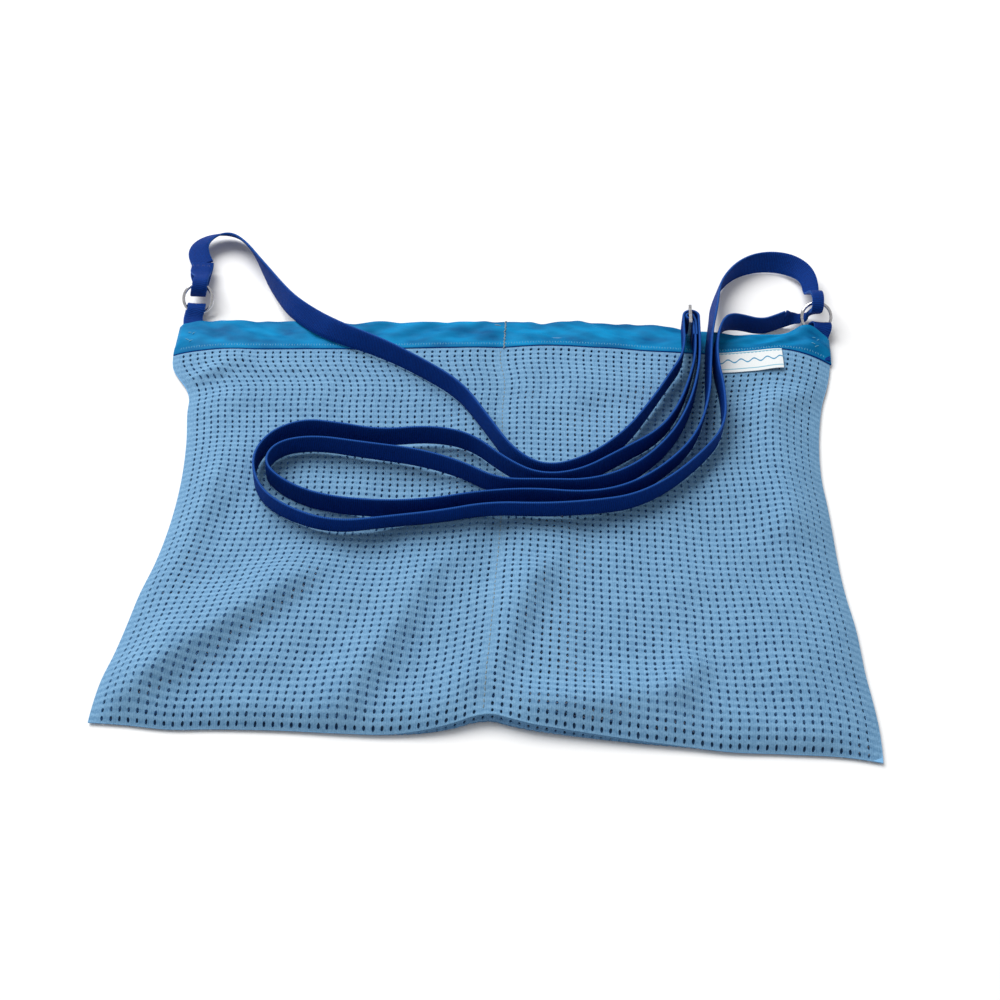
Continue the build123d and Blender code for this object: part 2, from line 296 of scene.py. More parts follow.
@dataclass(frozen=True)
class Satin:
    """Bright satin ribbon with fine crosswise floats, streaks of painted light and shade over its puckers,
    and painted shade on its turned lower edge.
    """

    name: str
    # light and dark are lit and shaded tones of the satin: painted light and shade over the puckers.
    light: Colour = srgb(14, 150, 208)
    dark: Colour = srgb(0, 78, 130)
    # Painted shade for the turned lower edge, where the binding meets the knit.
    fold: Colour = srgb(0, 50, 130)
    float_width: float = 0.45 * MM

    def material(self) -> bpy.types.Material:
        """Builds the satin's material.

        Returns:
            The new material.
        """
        tree = Recipe(self.name)
        across, along, edge = tree.stored("weave")
        where = tree.place()
        # Stretched streaks of painted light and shade over the puckers.
        lean = tree.vector(across * 45.0, along * 120.0, 0.0)
        painted_pucker_light = tree.noise(lean, 1.0, 2.0)
        grain = tree.noise(where, 2200.0, 1.0)
        tone = (painted_pucker_light * 1.7 + grain * 0.25 - 0.55).clip()
        face = tree.blend(tone, self.dark, self.light)
        # Painted shade on the turned lower edge.
        colour = tree.blend(edge.step(0.55, 0.95), face, self.fold)
        floats = (across * (2 * math.pi / self.float_width)).sine()
        normal = tree.bump(floats * 0.2 + grain * 0.4, 0.2, 0.08 * MM)
        rough = painted_pucker_light * 0.2 + 0.42
        return tree.surface(
            Base_Color=colour, Roughness=rough, Normal=normal, Specular_IOR_Level=0.06
        )


@dataclass(frozen=True)
class Webbing:
    """Ribbed navy webbing: slanted ribs across the face and paler edges, a painted highlight where light
    catches the woven edge.
    """

    name: str
    face: Colour = srgb(0, 62, 150)
    deep: Colour = srgb(0, 24, 84)
    # Paler colour for the painted highlight along the edges.
    edge: Colour = srgb(34, 88, 168)
    rib: float = 0.95 * MM
    half_width: float = 6.0 * MM

    def material(self) -> bpy.types.Material:
        """Builds the webbing's material.

        Returns:
            The new material.
        """
        tree = Recipe(self.name)
        along, across, side = tree.stored("weave")
        where = tree.place()
        zigzag = (across * (2 * math.pi / (6.0 * self.rib))).sine() * 0.8
        ribs = (along * (2 * math.pi / self.rib) + zigzag).sine() * 0.5 + 0.5
        yarns = (across * (2 * math.pi / (0.8 * self.rib))).sine() * 0.5 + 0.5
        fuzz = tree.noise(where, 1400.0, 2.0)
        patches = tree.noise(where, 70.0, 2.0)
        tone = (ribs * 0.5 + yarns * 0.25 + fuzz * 0.9 + patches * 0.3 - 0.5).clip()
        face = tree.blend(tone, self.deep, self.face)
        # Painted highlight along both edges of the webbing, where light catches them.
        rim = (across.size() / self.half_width).step(0.9, 1.0) * (ribs * 0.6 + 0.35)
        colour = tree.blend(rim, face, self.edge)
        normal = tree.bump(ribs * 0.6 + yarns * 0.35 + fuzz * 0.5, 0.8, 0.25 * MM)
        rough = fuzz * 0.2 + 0.6
        return tree.surface(Base_Color=colour, Roughness=rough, Normal=normal, Specular_IOR_Level=0.1)


@dataclass(frozen=True)
class Thread:
    """Twisted sewing thread."""

    name: str
    light: Colour
    dark: Colour
    twist: float = 0.35 * MM

    def material(self) -> bpy.types.Material:
        """Builds the thread's material.

        Returns:
            The new material.
        """
        tree = Recipe(self.name)
        where = tree.place()
        strands = tree.noise(where, 1.0 / self.twist, 2.0, 0.7)
        colour = tree.blend(strands.step(0.3, 0.7), self.dark, self.light)
        normal = tree.bump(strands, 0.4, 0.1 * MM)
        return tree.surface(Base_Color=colour, Roughness=strands * 0.2 + 0.5, Normal=normal, Sheen_Weight=0.1)


@dataclass(frozen=True)
class Nickel:
    """Polished plated wire with faint rub marks."""

    name: str
    bright: Colour = (0.82, 0.82, 0.84)
    worn: Colour = (0.62, 0.62, 0.64)

    def material(self) -> bpy.types.Material:
        """Builds the metal's material.

        Returns:
            The new material.
        """
        tree = Recipe(self.name)
        where = tree.place()
        rubs = tree.noise(where, 900.0, 3.0, 0.6)
        colour = tree.blend(rubs.step(0.35, 0.7), self.worn, self.bright)
        normal = tree.bump(rubs, 0.12, 0.05 * MM)
        return tree.surface(Base_Color=colour, Metallic=1.0, Roughness=rubs * 0.18 + 0.1, Normal=normal)


@dataclass(frozen=True)
class LabelWeave:
    """White woven label with a plain woven border and one row of small waves."""

    name: str
    ground: Colour = srgb(238, 241, 240)
    shade: Colour = srgb(205, 211, 214)
    border: Colour = srgb(120, 176, 196)
    wave: Colour = srgb(58, 138, 176)

    def material(self) -> bpy.types.Material:
        """Builds the label's material.

        Returns:
            The new material.
        """
        tree = Recipe(self.name)
        across, along, _ = tree.stored("weave")
        where = tree.place()
        grain = tree.noise(where, 1800.0, 2.0)
        yarns = (across * (2 * math.pi / (0.5 * MM))).sine() * (along * (2 * math.pi / (0.6 * MM))).sine()
        ground = tree.blend((grain * 0.8 + yarns * 0.1 + 0.1).clip(), self.shade, self.ground)
        swing = (across * (2 * math.pi / (7.0 * MM))).sine() * (1.1 * MM)
        line = 1.0 - ((along - swing).size() / MM).step(0.35, 0.6)
        first = tree.blend(line, ground, self.wave)
        reach = (along.size() / MM).step(5.0, 5.2) * (1.0 - (along.size() / MM).step(5.6, 5.8))
        colour = tree.blend(reach, first, self.border)
        normal = tree.bump(yarns * 0.4 + grain * 0.4, 0.3, 0.06 * MM)
        return tree.surface(Base_Color=colour, Roughness=grain * 0.1 + 0.55, Normal=normal)


@dataclass(frozen=True)
class Paper:
    """Pale matt floor."""

    name: str = "floor_paper"
    tint: Colour = (0.93, 0.93, 0.93)

    def material(self) -> bpy.types.Material:
        """Builds the floor's material.

        Returns:
            The new material.
        """
        tree = Recipe(self.name)
        grain = tree.noise(tree.place(), 6.0, 1.0)
        colour = tree.blend(grain, self.tint, tuple(0.99 * part for part in self.tint))
        return tree.surface(Base_Color=colour, Roughness=0.9, Specular_IOR_Level=0.1)


class Finish(Enum):
    """Every finish on the bag, with the record's slot name as its value."""

    MESH_KNIT = "mesh_knit"
    SHADED_SEAM_KNIT = "seam_knit"
    BINDING = "binding_satin"
    PALE_THREAD = "pale_thread"
    GREY_THREAD = "grey_thread"
    STRAP_THREAD = "strap_thread"
    LABEL = "label_cloth"
    WEBBING = "webbing"
    METAL = "ring_metal"


class Wardrobe:
    """Makes each finish's material once and dresses pieces in it."""

    def __init__(self) -> None:
        """Builds all the materials."""
        makers = {
            Finish.MESH_KNIT: Knit("mesh_knit"),
            # Seam knit is the same cloth painted darker, as shade between the panels.
            Finish.SHADED_SEAM_KNIT: Knit("seam_knit", srgb(84, 124, 162), srgb(54, 90, 128), srgb(60, 96, 134)),
            Finish.BINDING: Satin("binding_satin"),
            Finish.PALE_THREAD: Thread("pale_thread", srgb(120, 196, 226), srgb(72, 140, 178)),
            Finish.GREY_THREAD: Thread("grey_thread", srgb(140, 158, 164), srgb(80, 104, 118)),
            Finish.STRAP_THREAD: Thread("strap_thread", srgb(36, 62, 128), srgb(8, 18, 52)),
            Finish.LABEL: LabelWeave("label_cloth"),
            Finish.WEBBING: Webbing("webbing"),
            Finish.METAL: Nickel("ring_metal"),
        }
        self.materials = {finish: maker.material() for finish, maker in makers.items()}
        # Back panel's knit painted darker: painted shade for the strip of it that shows under the front's
        # lower edge.
        lower = Knit("mesh_knit_shaded_back", srgb(94, 136, 174), srgb(54, 94, 132), srgb(120, 172, 214))
        self.shaded_back_knit = lower.material()

    def dress(
        self, piece: bpy.types.Object, finish: Finish, other: bpy.types.Material | None = None
    ) -> bpy.types.Object:
        """Gives a piece its material.

        Args:
            piece: the piece.
            finish: the finish it takes.
            other: a darker copy of that finish, painted as shade, for this piece alone.

        Returns:
            The same piece.
        """
        piece.data.materials.clear()
        piece.data.materials.append(other or self.materials[finish])
        LOG.info("%s: %s, %d points", piece.name, finish.value, len(piece.data.vertices))
        return piece


# ---------------------------------------------------------------- shapes


def smooth(value: np.ndarray, low: float, high: float) -> np.ndarray:
    """Smooth step from 0 at low to 1 at high."""
    share = np.clip((value - low) / (high - low), 0.0, 1.0)
    return share * share * (3 - 2 * share)


def rounded(share: np.ndarray, power: float = 2.2) -> np.ndarray:
    """Rise from 0 to 1 that starts steep and ends level, as a turned edge does."""
    return 1.0 - (1.0 - np.clip(share, 0.0, 1.0)) ** power


@dataclass(frozen=True)
class Profile:
    """Smooth value along one direction, through points given in millimetres."""

    points: tuple[tuple[float, float], ...]

    def __call__(self, at: np.ndarray) -> np.ndarray:
        """Value at each place.

        Args:
            at: the places, in metres.

        Returns:
            The values, in metres.
        """
        knots = np.array(self.points, float) * MM
        x, y = knots[:, 0], knots[:, 1]
        slopes = np.gradient(y, x)
        where = np.clip(at, x[0], x[-1])
        i = np.clip(np.searchsorted(x, where, side="right") - 1, 0, len(x) - 2)
        run = x[i + 1] - x[i]
        t = (where - x[i]) / run
        start = (2 * t**3 - 3 * t**2 + 1) * y[i] + (t**3 - 2 * t**2 + t) * run * slopes[i]
        return start + (3 * t**2 - 2 * t**3) * y[i + 1] + (t**3 - t**2) * run * slopes[i + 1]


@dataclass(frozen=True)
class Fold:
    """A ridge in the cloth along a line, with its own width on each side, in millimetres."""

    start: tuple[float, float]
    end: tuple[float, float]
    height: float
    left: float
    right: float

    def lift(self, x: np.ndarray, y: np.ndarray) -> np.ndarray:
        """Height that the fold adds.

        Args:
            x: each place's x, in metres.
            y: each place's y, in metres.

        Returns:
            The heights, in metres.
        """
        start = np.array(self.start) * MM
        way = np.array(self.end) * MM - start
        length = float(np.hypot(*way))
        way = way / length
        along = ((x - start[0]) * way[0] + (y - start[1]) * way[1]) / length
        off = (y - start[1]) * way[0] - (x - start[0]) * way[1]
        width = np.where(off > 0, self.left, self.right) * MM
        ends = smooth(along, -0.3, 0.15) * (1 - smooth(along, 0.8, 1.3))
        return self.height * MM * np.exp(-((off / width) ** 2)) * ends


@dataclass(frozen=True)
class Ripple:
    """Gentle unevenness: a few waves in directions drawn from a fixed seed, in millimetres."""

    seed: int
    wavelength: float
    height: float
    waves: int = 7

    def lift(self, x: np.ndarray, y: np.ndarray) -> np.ndarray:
        """Height that the ripple adds.

        Args:
            x: each place's x, in metres.
            y: each place's y, in metres.

        Returns:
            The heights, in metres.
        """
        draws = np.random.default_rng(self.seed).random((self.waves, 3))
        total = np.zeros_like(x)
        for turn, phase, stretch in draws:
            angle = turn * math.pi
            number = 2 * math.pi / (self.wavelength * MM * (0.7 + 0.7 * stretch))
            total += np.sin((x * math.cos(angle) + y * math.sin(angle)) * number + 2 * math.pi * phase)
        return self.height * MM * total / math.sqrt(self.waves / 2)


def mesh_piece(
    name: str, points: np.ndarray, faces: Sequence, weave: np.ndarray, sharp: float = 50.0
) -> bpy.types.Object:
    """Makes a mesh object with smooth faces, sharp creases and stored weave values.

    Args:
        name: the piece's name.
        points: its points.
        faces: its faces as lists of point numbers.
        weave: three values for each point, for the shader.
        sharp: edges that bend more than this many degrees stay sharp.

    Returns:
        The new object.
    """
    mesh = bpy.data.meshes.new(name)
    mesh.from_pydata(points.tolist(), [], [list(map(int, face)) for face in faces])
    mesh.validate(clean_customdata=False)
    stored = mesh.attributes.new("weave", "FLOAT_VECTOR", "POINT")
    stored.data.foreach_set("vector", weave.astype(np.float32).ravel())
    mesh.shade_smooth()
    mesh.set_sharp_from_angle(angle=math.radians(sharp))
    mesh.update()
    piece = bpy.data.objects.new(name, mesh)
    bpy.context.scene.collection.objects.link(piece)
    return piece


Surface = Callable[[np.ndarray, np.ndarray], np.ndarray]


def normals_of(surface: Surface, u: np.ndarray, v: np.ndarray, step: float = 1e-3) -> np.ndarray:
    """Unit normals of a surface at each place, by small steps either way.

    Args:
        surface: the surface.
        u: first share at each place.
        v: second share at each place.
        step: size of the small steps.

    Returns:
        One unit normal for each place.
    """
    du = surface(u + step, v) - surface(u - step, v)
    dv = surface(u, v + step) - surface(u, v - step)
    normal = np.cross(du, dv)
    return normal / np.linalg.norm(normal, axis=1, keepdims=True)


def slab(
    name: str, surface: Surface, counts: tuple[int, int], thickness: float, size: tuple[float, float]
) -> bpy.types.Object:
    """Closed sheet of even thickness over a surface.

    Args:
        name: the piece's name.
        surface: gives the outer face's points from two shares.
        counts: faces across and along.
        thickness: the sheet's thickness.
        size: the sheet's flat size, for the weave.

    Returns:
        The new object.
    """
    across, along = counts
    u, v = (a.ravel() for a in np.meshgrid(np.linspace(0, 1, across + 1), np.linspace(0, 1, along + 1)))
    outer = surface(u, v)
    inner = outer - normals_of(surface, u, v) * thickness
    total = len(u)
    index = np.arange(total).reshape(along + 1, across + 1)
    a, b, c, d = index[:-1, :-1], index[:-1, 1:], index[1:, 1:], index[1:, :-1]
    faces = np.stack([a, b, c, d], -1).reshape(-1, 4)
    edge = np.concatenate([index[0, :], index[1:, -1], index[-1, -2::-1], index[-2:0:-1, 0]])
    following = np.roll(edge, -1)
    rim = np.stack([following, edge, edge + total, following + total], -1)
    every = [*faces, *(faces[:, ::-1] + total), *rim]
    weave = np.stack([u * size[0], v * size[1], np.zeros(total)], -1)
    weave = np.concatenate([weave, weave + [0, 0, 1]])
    return mesh_piece(name, np.concatenate([outer, inner]), every, weave)


@dataclass(frozen=True)
class Perforation:
    """Rows of small oblong holes knitted into a cloth."""

    columns: int = 87
    rows: int = 68
    width: float = 1.3 * MM
    length: float = 2.25 * MM
    span: tuple[float, float] = (PANEL_SPAN, PANEL_RUN)
    jitter: float = 0.07 * MM
    seed: int = 11
    closed_columns: tuple[int, ...] = ()
    points: int = 8

    def build(self, name: str, surface: Surface, thickness: float) -> bpy.types.Object:
        """Makes the closed cloth with every hole cut through it.

        Args:
            name: the piece's name.
            surface: gives the outer face's points from two shares.
            thickness: the cloth's thickness.

        Returns:
            The new object.
        """
        u, v = (
            a.ravel()
            for a in np.meshgrid(np.linspace(0, 1, self.columns + 1), np.linspace(0, 1, self.rows + 1))
        )
        grid = np.arange(len(u)).reshape(self.rows + 1, self.columns + 1)
        draw = np.random.default_rng(self.seed)
        faces: list[Sequence[int]] = []
        rims: list[Sequence[int]] = []
        ring_u: list[np.ndarray] = []
        ring_v: list[np.ndarray] = []
        count = len(u)
        turns = (np.arange(self.points) + 0.5) * 2 * math.pi / self.points
        total = count + self._open_cells() * self.points
        for row in range(self.rows):
            for column in range(self.columns):
                below, above = grid[row], grid[row + 1]
                corners = [below[column], below[column + 1], above[column + 1], above[column]]
                shift = draw.normal(0, self.jitter, 2)
                size = 1 + draw.normal(0, 0.07, 2)
                skew = draw.normal(0.05, 0.06)
                if not self._is_open(row, column):
                    faces.append(corners)
                    continue
                along = np.sin(turns) * self.length / 2 * size[1]
                side = np.cos(turns) * self.width / 2 * size[0] + along * skew
                ring_u.append((column + 0.5) / self.columns + (side + shift[0]) / self.span[0])
                ring_v.append((row + 0.5) / self.rows + (along + shift[1]) / self.span[1])
                ring = [count + k for k in range(self.points)]
                count += self.points
                faces += self._around(corners, ring)
                for k in range(self.points):
                    after = ring[(k + 1) % self.points]
                    rims.append((ring[k], after, after + total, ring[k] + total))
        u = np.concatenate([u, *ring_u])
        v = np.concatenate([v, *ring_v])
        outer = surface(u, v)
        inner = outer - normals_of(surface, u, v) * thickness
        edge = np.concatenate([grid[0, :], grid[1:, -1], grid[-1, -2::-1], grid[-2:0:-1, 0]])
        following = np.roll(edge, -1)
        rims += np.stack([following, edge, edge + total, following + total], -1).tolist()
        under = [[point + total for point in reversed(face)] for face in faces]
        weave = np.stack([u * self.span[0], v * self.span[1], np.zeros(total)], -1)
        weave = np.concatenate([weave, weave + [0, 0, 1]])
        return mesh_piece(name, np.concatenate([outer, inner]), [*faces, *under, *rims], weave)

    def _is_open(self, row: int, column: int) -> bool:
        """Tells whether a cell has a hole: none in the seams, the binding or a sewn column."""
        inside = row < self.rows - 2 and 0 < column < self.columns - 1
        return inside and column not in self.closed_columns

    def _open_cells(self) -> int:
        """Number of cells with a hole."""
        cells = ((row, column) for row in range(self.rows) for column in range(self.columns))
        return sum(self._is_open(*cell) for cell in cells)

    def _around(self, corners: Sequence[int], ring: Sequence[int]) -> list[Sequence[int]]:
        """Faces between a cell's corners and its hole.

        Args:
            corners: the cell's four corners.
            ring: the eight points round its hole.

        Returns:
            The faces.
        """
        bottom_left, bottom_right, top_right, top_left = corners
        return [
            (bottom_left, bottom_right, ring[6], ring[5]),
            (bottom_right, ring[7], ring[6]),
            (bottom_right, top_right, ring[0], ring[7]),
            (top_right, ring[1], ring[0]),
            (top_right, top_left, ring[2], ring[1]),
            (top_left, ring[3], ring[2]),
            (top_left, bottom_left, ring[4], ring[3]),
            (bottom_left, ring[5], ring[4]),
        ]


@dataclass(frozen=True)
class BagShape:
    """Outline and heights of the bag as it lies, in millimetres at the listed points."""

    left: Profile = Profile(
        ((-142, -175.5), (-130, -175.3), (-115, -174), (-101, -171), (-82, -168), (-67, -166), (-45, -161.5),
         (5, -158), (36, -160), (57, -163), (68, -164), (75, -167), (82, -172), (89, -176), (97, -177.5),
         (124, -177))
    )
    right: Profile = Profile(
        ((-142, 177), (-120, 177), (-110, 176), (-94, 174), (-69, 172), (-50, 169), (6, 165), (17, 164),
         (34, 164), (52, 165.5), (70, 168.5), (84, 172.5), (97, 175), (124, 176))
    )
    front_low: Profile = Profile(
        ((-177, -135.5), (-160, -136), (-139, -137.5), (-119, -136.5), (-92, -136), (-60, -136.5),
         (-44, -136.5),
         (-26, -134.5), (-12, -131), (-2, -127.4), (4.5, -126.6), (12, -128.4), (21, -130.4), (36, -132.3),
         (51, -133.8), (71, -135.6), (93, -137.2), (107, -138.4), (136, -138.4), (165, -139.2), (177, -141))
    )
    seam_rise: Profile = Profile(
        ((-177, 1.7), (-90, 1.9), (-60, 2.2), (-35, 3.0), (-15, 5.4), (0, 7.2), (5, 7.6), (25, 6.8),
         (50, 5.2), (80, 3.4), (110, 2.2), (177, 1.7))
    )
    mouth_low: Profile = Profile(
        ((-178, 95.5), (-160, 95.2), (-137, 95.8), (-87, 98.5), (-50, 100.6), (-18, 102.7), (2, 104.2),
         (22, 106),
         (53, 105.5), (84, 103.8), (115, 103.5), (132, 106), (150, 108.8), (165, 106.5), (178, 103.5))
    )
    mouth_top: Profile = Profile(
        ((-178, 116.5), (-168, 115.3), (-156, 115.2), (-144, 116.6), (-132, 117.4), (-118, 117), (-96, 118.6),
         (-80, 118.0), (-62, 119.6), (-46, 119.6), (-30, 121.4), (-17, 121.0), (-3, 122.8), (12, 123.2),
         (21, 122.2), (38, 123.6), (56, 123.8), (76, 122.6), (95, 120.6), (112, 118.8), (128, 117.6),
         (141, 117.8), (152, 120.6),
         (163, 124.6), (171, 122.4), (178, 119.5))
    )
    folds: tuple[Fold, ...] = (
        Fold((-161, -121), (-88, -56), 9.4, 22, 10),
        Fold((-158, -66), (-134, 18), 5.0, 14, 10),
        Fold((-112, -112), (-66, -62), 2.6, 14, 12),
        Fold((-62, -124), (-17, -24), 5.2, 18, 9),
        Fold((-2, -116), (28, -32), 4.6, 14, 9),
        Fold((22, -124), (90, -112), 4.6, 13, 10),
        Fold((84, -114), (98, -96), 3.2, 12, 7),
        Fold((-150, 90), (-84, 86), 4.6, 8, 6),
        Fold((-170, 73), (-147, 81), 4.6, 5, 4),
        Fold((-152, 58), (-96, 66), 2.6, 8, 10),
        Fold((112, 14), (148, -14), 2.8, 14, 12),
        Fold((142, 62), (152, -24), 2.4, 14, 12),
        Fold((124, 60), (168, 80), 3.4, 8, 8),
        Fold((40, 70), (86, 84), 2.0, 12, 12),
        Fold((120, -60), (150, -118), 2.2, 14, 12),
    )
    ripples: tuple[Ripple, ...] = (Ripple(3, 70, 0.5), Ripple(5, 30, 0.24), Ripple(8, 14, 0.09))
    body_height: float = 8.0 * MM
    mouth_height: float = 7.8 * MM
    side_height: float = 1.8 * MM
    side_ramp: float = 34 * MM
    low_ramp: float = 17 * MM
    valley: float = 1.5 * MM
    valley_half: float = 8 * MM
    ceiling: float = 9.3 * MM
    strap_low: float = -38 * MM
    knit: float = 0.7 * MM
    table_gap: float = 0.15 * MM
    tuck: float = 6 * MM
    level_range: tuple[float, float] = (-0.138, 0.104)
    side_power: float = 2.6
    low_power: float = 2.8

    def plan(self, u: np.ndarray, v: np.ndarray) -> tuple[np.ndarray, np.ndarray]:
        """Place on the table of two shares: across from the left, along from the bottom.

        Args:
            u: share across.
            v: share along, with 1 a little way inside the binding.

        Returns:
            The x and y of each place.
        """
        low, high = self.level_range
        level = low + (high - low) * np.clip(v, 0, 1)
        x = self.left(level) + (self.right(level) - self.left(level)) * u
        start = self.left(np.array(low)) + (self.right(np.array(low)) - self.left(np.array(low))) * u
        end = self.left(np.array(high)) + (self.right(np.array(high)) - self.left(np.array(high))) * u
        y = self.front_low(start) * (1 - v) + (self.mouth_low(end) + self.tuck) * v
        return x, y

    def valley_line(self, y: np.ndarray) -> np.ndarray:
        """X of the middle seam at each y."""
        return self.left(y) / 2 + self.right(y) / 2

    def seam_height(self, x: np.ndarray, low: np.ndarray) -> np.ndarray:
        """Height of the outer seam, raised at the middle of the bag's bottom edge."""
        return self.side_height + (self.seam_rise(x) - self.side_height) * np.exp(-((low / 0.022) ** 2))

    def top(self, u: np.ndarray, v: np.ndarray) -> np.ndarray:
        """Front panel's outer face.

        Args:
            u: share across.
            v: share along, above 1 in the binding.

        Returns:
            Its points.
        """
        x, y = self.plan(u, v)
        span = self.right(y) - self.left(y)
        side = np.clip(np.minimum(u, 1 - u), 0, 1) * span
        low = np.clip(v, 0, 2) * PANEL_RUN
        body = np.full_like(x, self.body_height)
        for shape in (*self.folds, *self.ripples):
            body = body + shape.lift(x, y)
        middle = np.abs(x - self.valley_line(y)) / self.valley_half
        body = body - self.valley * np.exp(-(middle**2))
        over = body - self.ceiling
        pressed = self.ceiling + 0.25 * MM * np.tanh(over / (0.5 * MM))
        past_low = smooth(y, self.strap_low - 0.012, self.strap_low + 0.004)
        under_strap = past_low * (1 - smooth(np.abs(x), 0.128, 0.142))
        body = np.where(over > 0, body + (pressed - body) * under_strap, body)
        body = body + (self.mouth_height - body) * smooth(v, 0.86, 1.0) * 0.8
        seam = self.seam_height(x, low)
        lift = rounded(side / self.side_ramp, self.side_power) * rounded(low / self.low_ramp, self.low_power)
        return np.stack([x, y, seam + (body - seam) * lift], -1)

    def under(self, u: np.ndarray, v: np.ndarray) -> np.ndarray:
        """Back panel's outer face, which faces the table and so runs from right to left.

        Args:
            u: share across.
            v: share along.

        Returns:
            Its points.
        """
        x, y = self.plan(1 - u, v)
        span = self.right(y) - self.left(y)
        side = np.clip(np.minimum(u, 1 - u), 0, 1) * span
        walk = np.clip(v, 0, 2) * PANEL_RUN
        seam = self.seam_height(x, np.zeros_like(x)) - 0.9 * self.knit
        drop = seam - self.table_gap
        bend = 1.1 * MM
        height = self.table_gap + bend * np.log1p(np.exp((drop - walk) / bend))
        height = np.minimum(height, seam)
        used = np.clip(seam - height, 0, None)
        y = y - used * 0.98 - 0.0016 * (1 - np.exp(-used / 0.003)) * np.exp(-walk / 0.03)
        curl = (1.0 * MM) * (1 - smooth(side, 0.0, 4.5 * MM))
        height = np.minimum(height + curl, np.maximum(seam, self.table_gap))
        return np.stack([x, y, height], -1)


def place_stitches(name: str, stitches: Iterable[tuple], radius: float) -> bpy.types.Object:
    """Makes separate stitches, each a short thread whose ends dip into the cloth.

    Args:
        name: the piece's name.
        stitches: centre, direction, normal and length of each.
        radius: the thread's radius.

    Returns:
        The new object.
    """
    sides = 6
    shares = np.array([-0.5, -0.36, 0.0, 0.36, 0.5])
    girth = np.array([0.35, 0.9, 1.0, 0.9, 0.35])
    dip = np.array([-1.1, -0.2, 0.25, -0.2, -1.1])
    turns = np.arange(sides) * 2 * math.pi / sides
    points, faces, weave = [], [], []
    for centre, way, normal, length in stitches:
        centre, way, normal = (np.array(a, float) for a in (centre, way, normal))
        way = way / np.linalg.norm(way)
        normal = normal - way * (normal @ way)
        normal = normal / np.linalg.norm(normal)
        side = np.cross(way, normal)
        base = len(points)
        for share, girth_here, dip_here in zip(shares, girth, dip):
            middle = centre + way * share * length + normal * dip_here * radius
            for turn in turns:
                outward = side * math.cos(turn) + normal * math.sin(turn)
                points.append(middle + outward * radius * girth_here)
                weave.append((share * length, turn, 0.0))
        for ring in range(len(shares) - 1):
            for k in range(sides):
                a, b = base + ring * sides + k, base + ring * sides + (k + 1) % sides
                faces.append((b, a, a + sides, b + sides))
        faces.append([base + k for k in range(sides)])
        last = base + (len(shares) - 1) * sides
        faces.append([last + k for k in reversed(range(sides))])
    return mesh_piece(name, np.array(points), faces, np.array(weave))


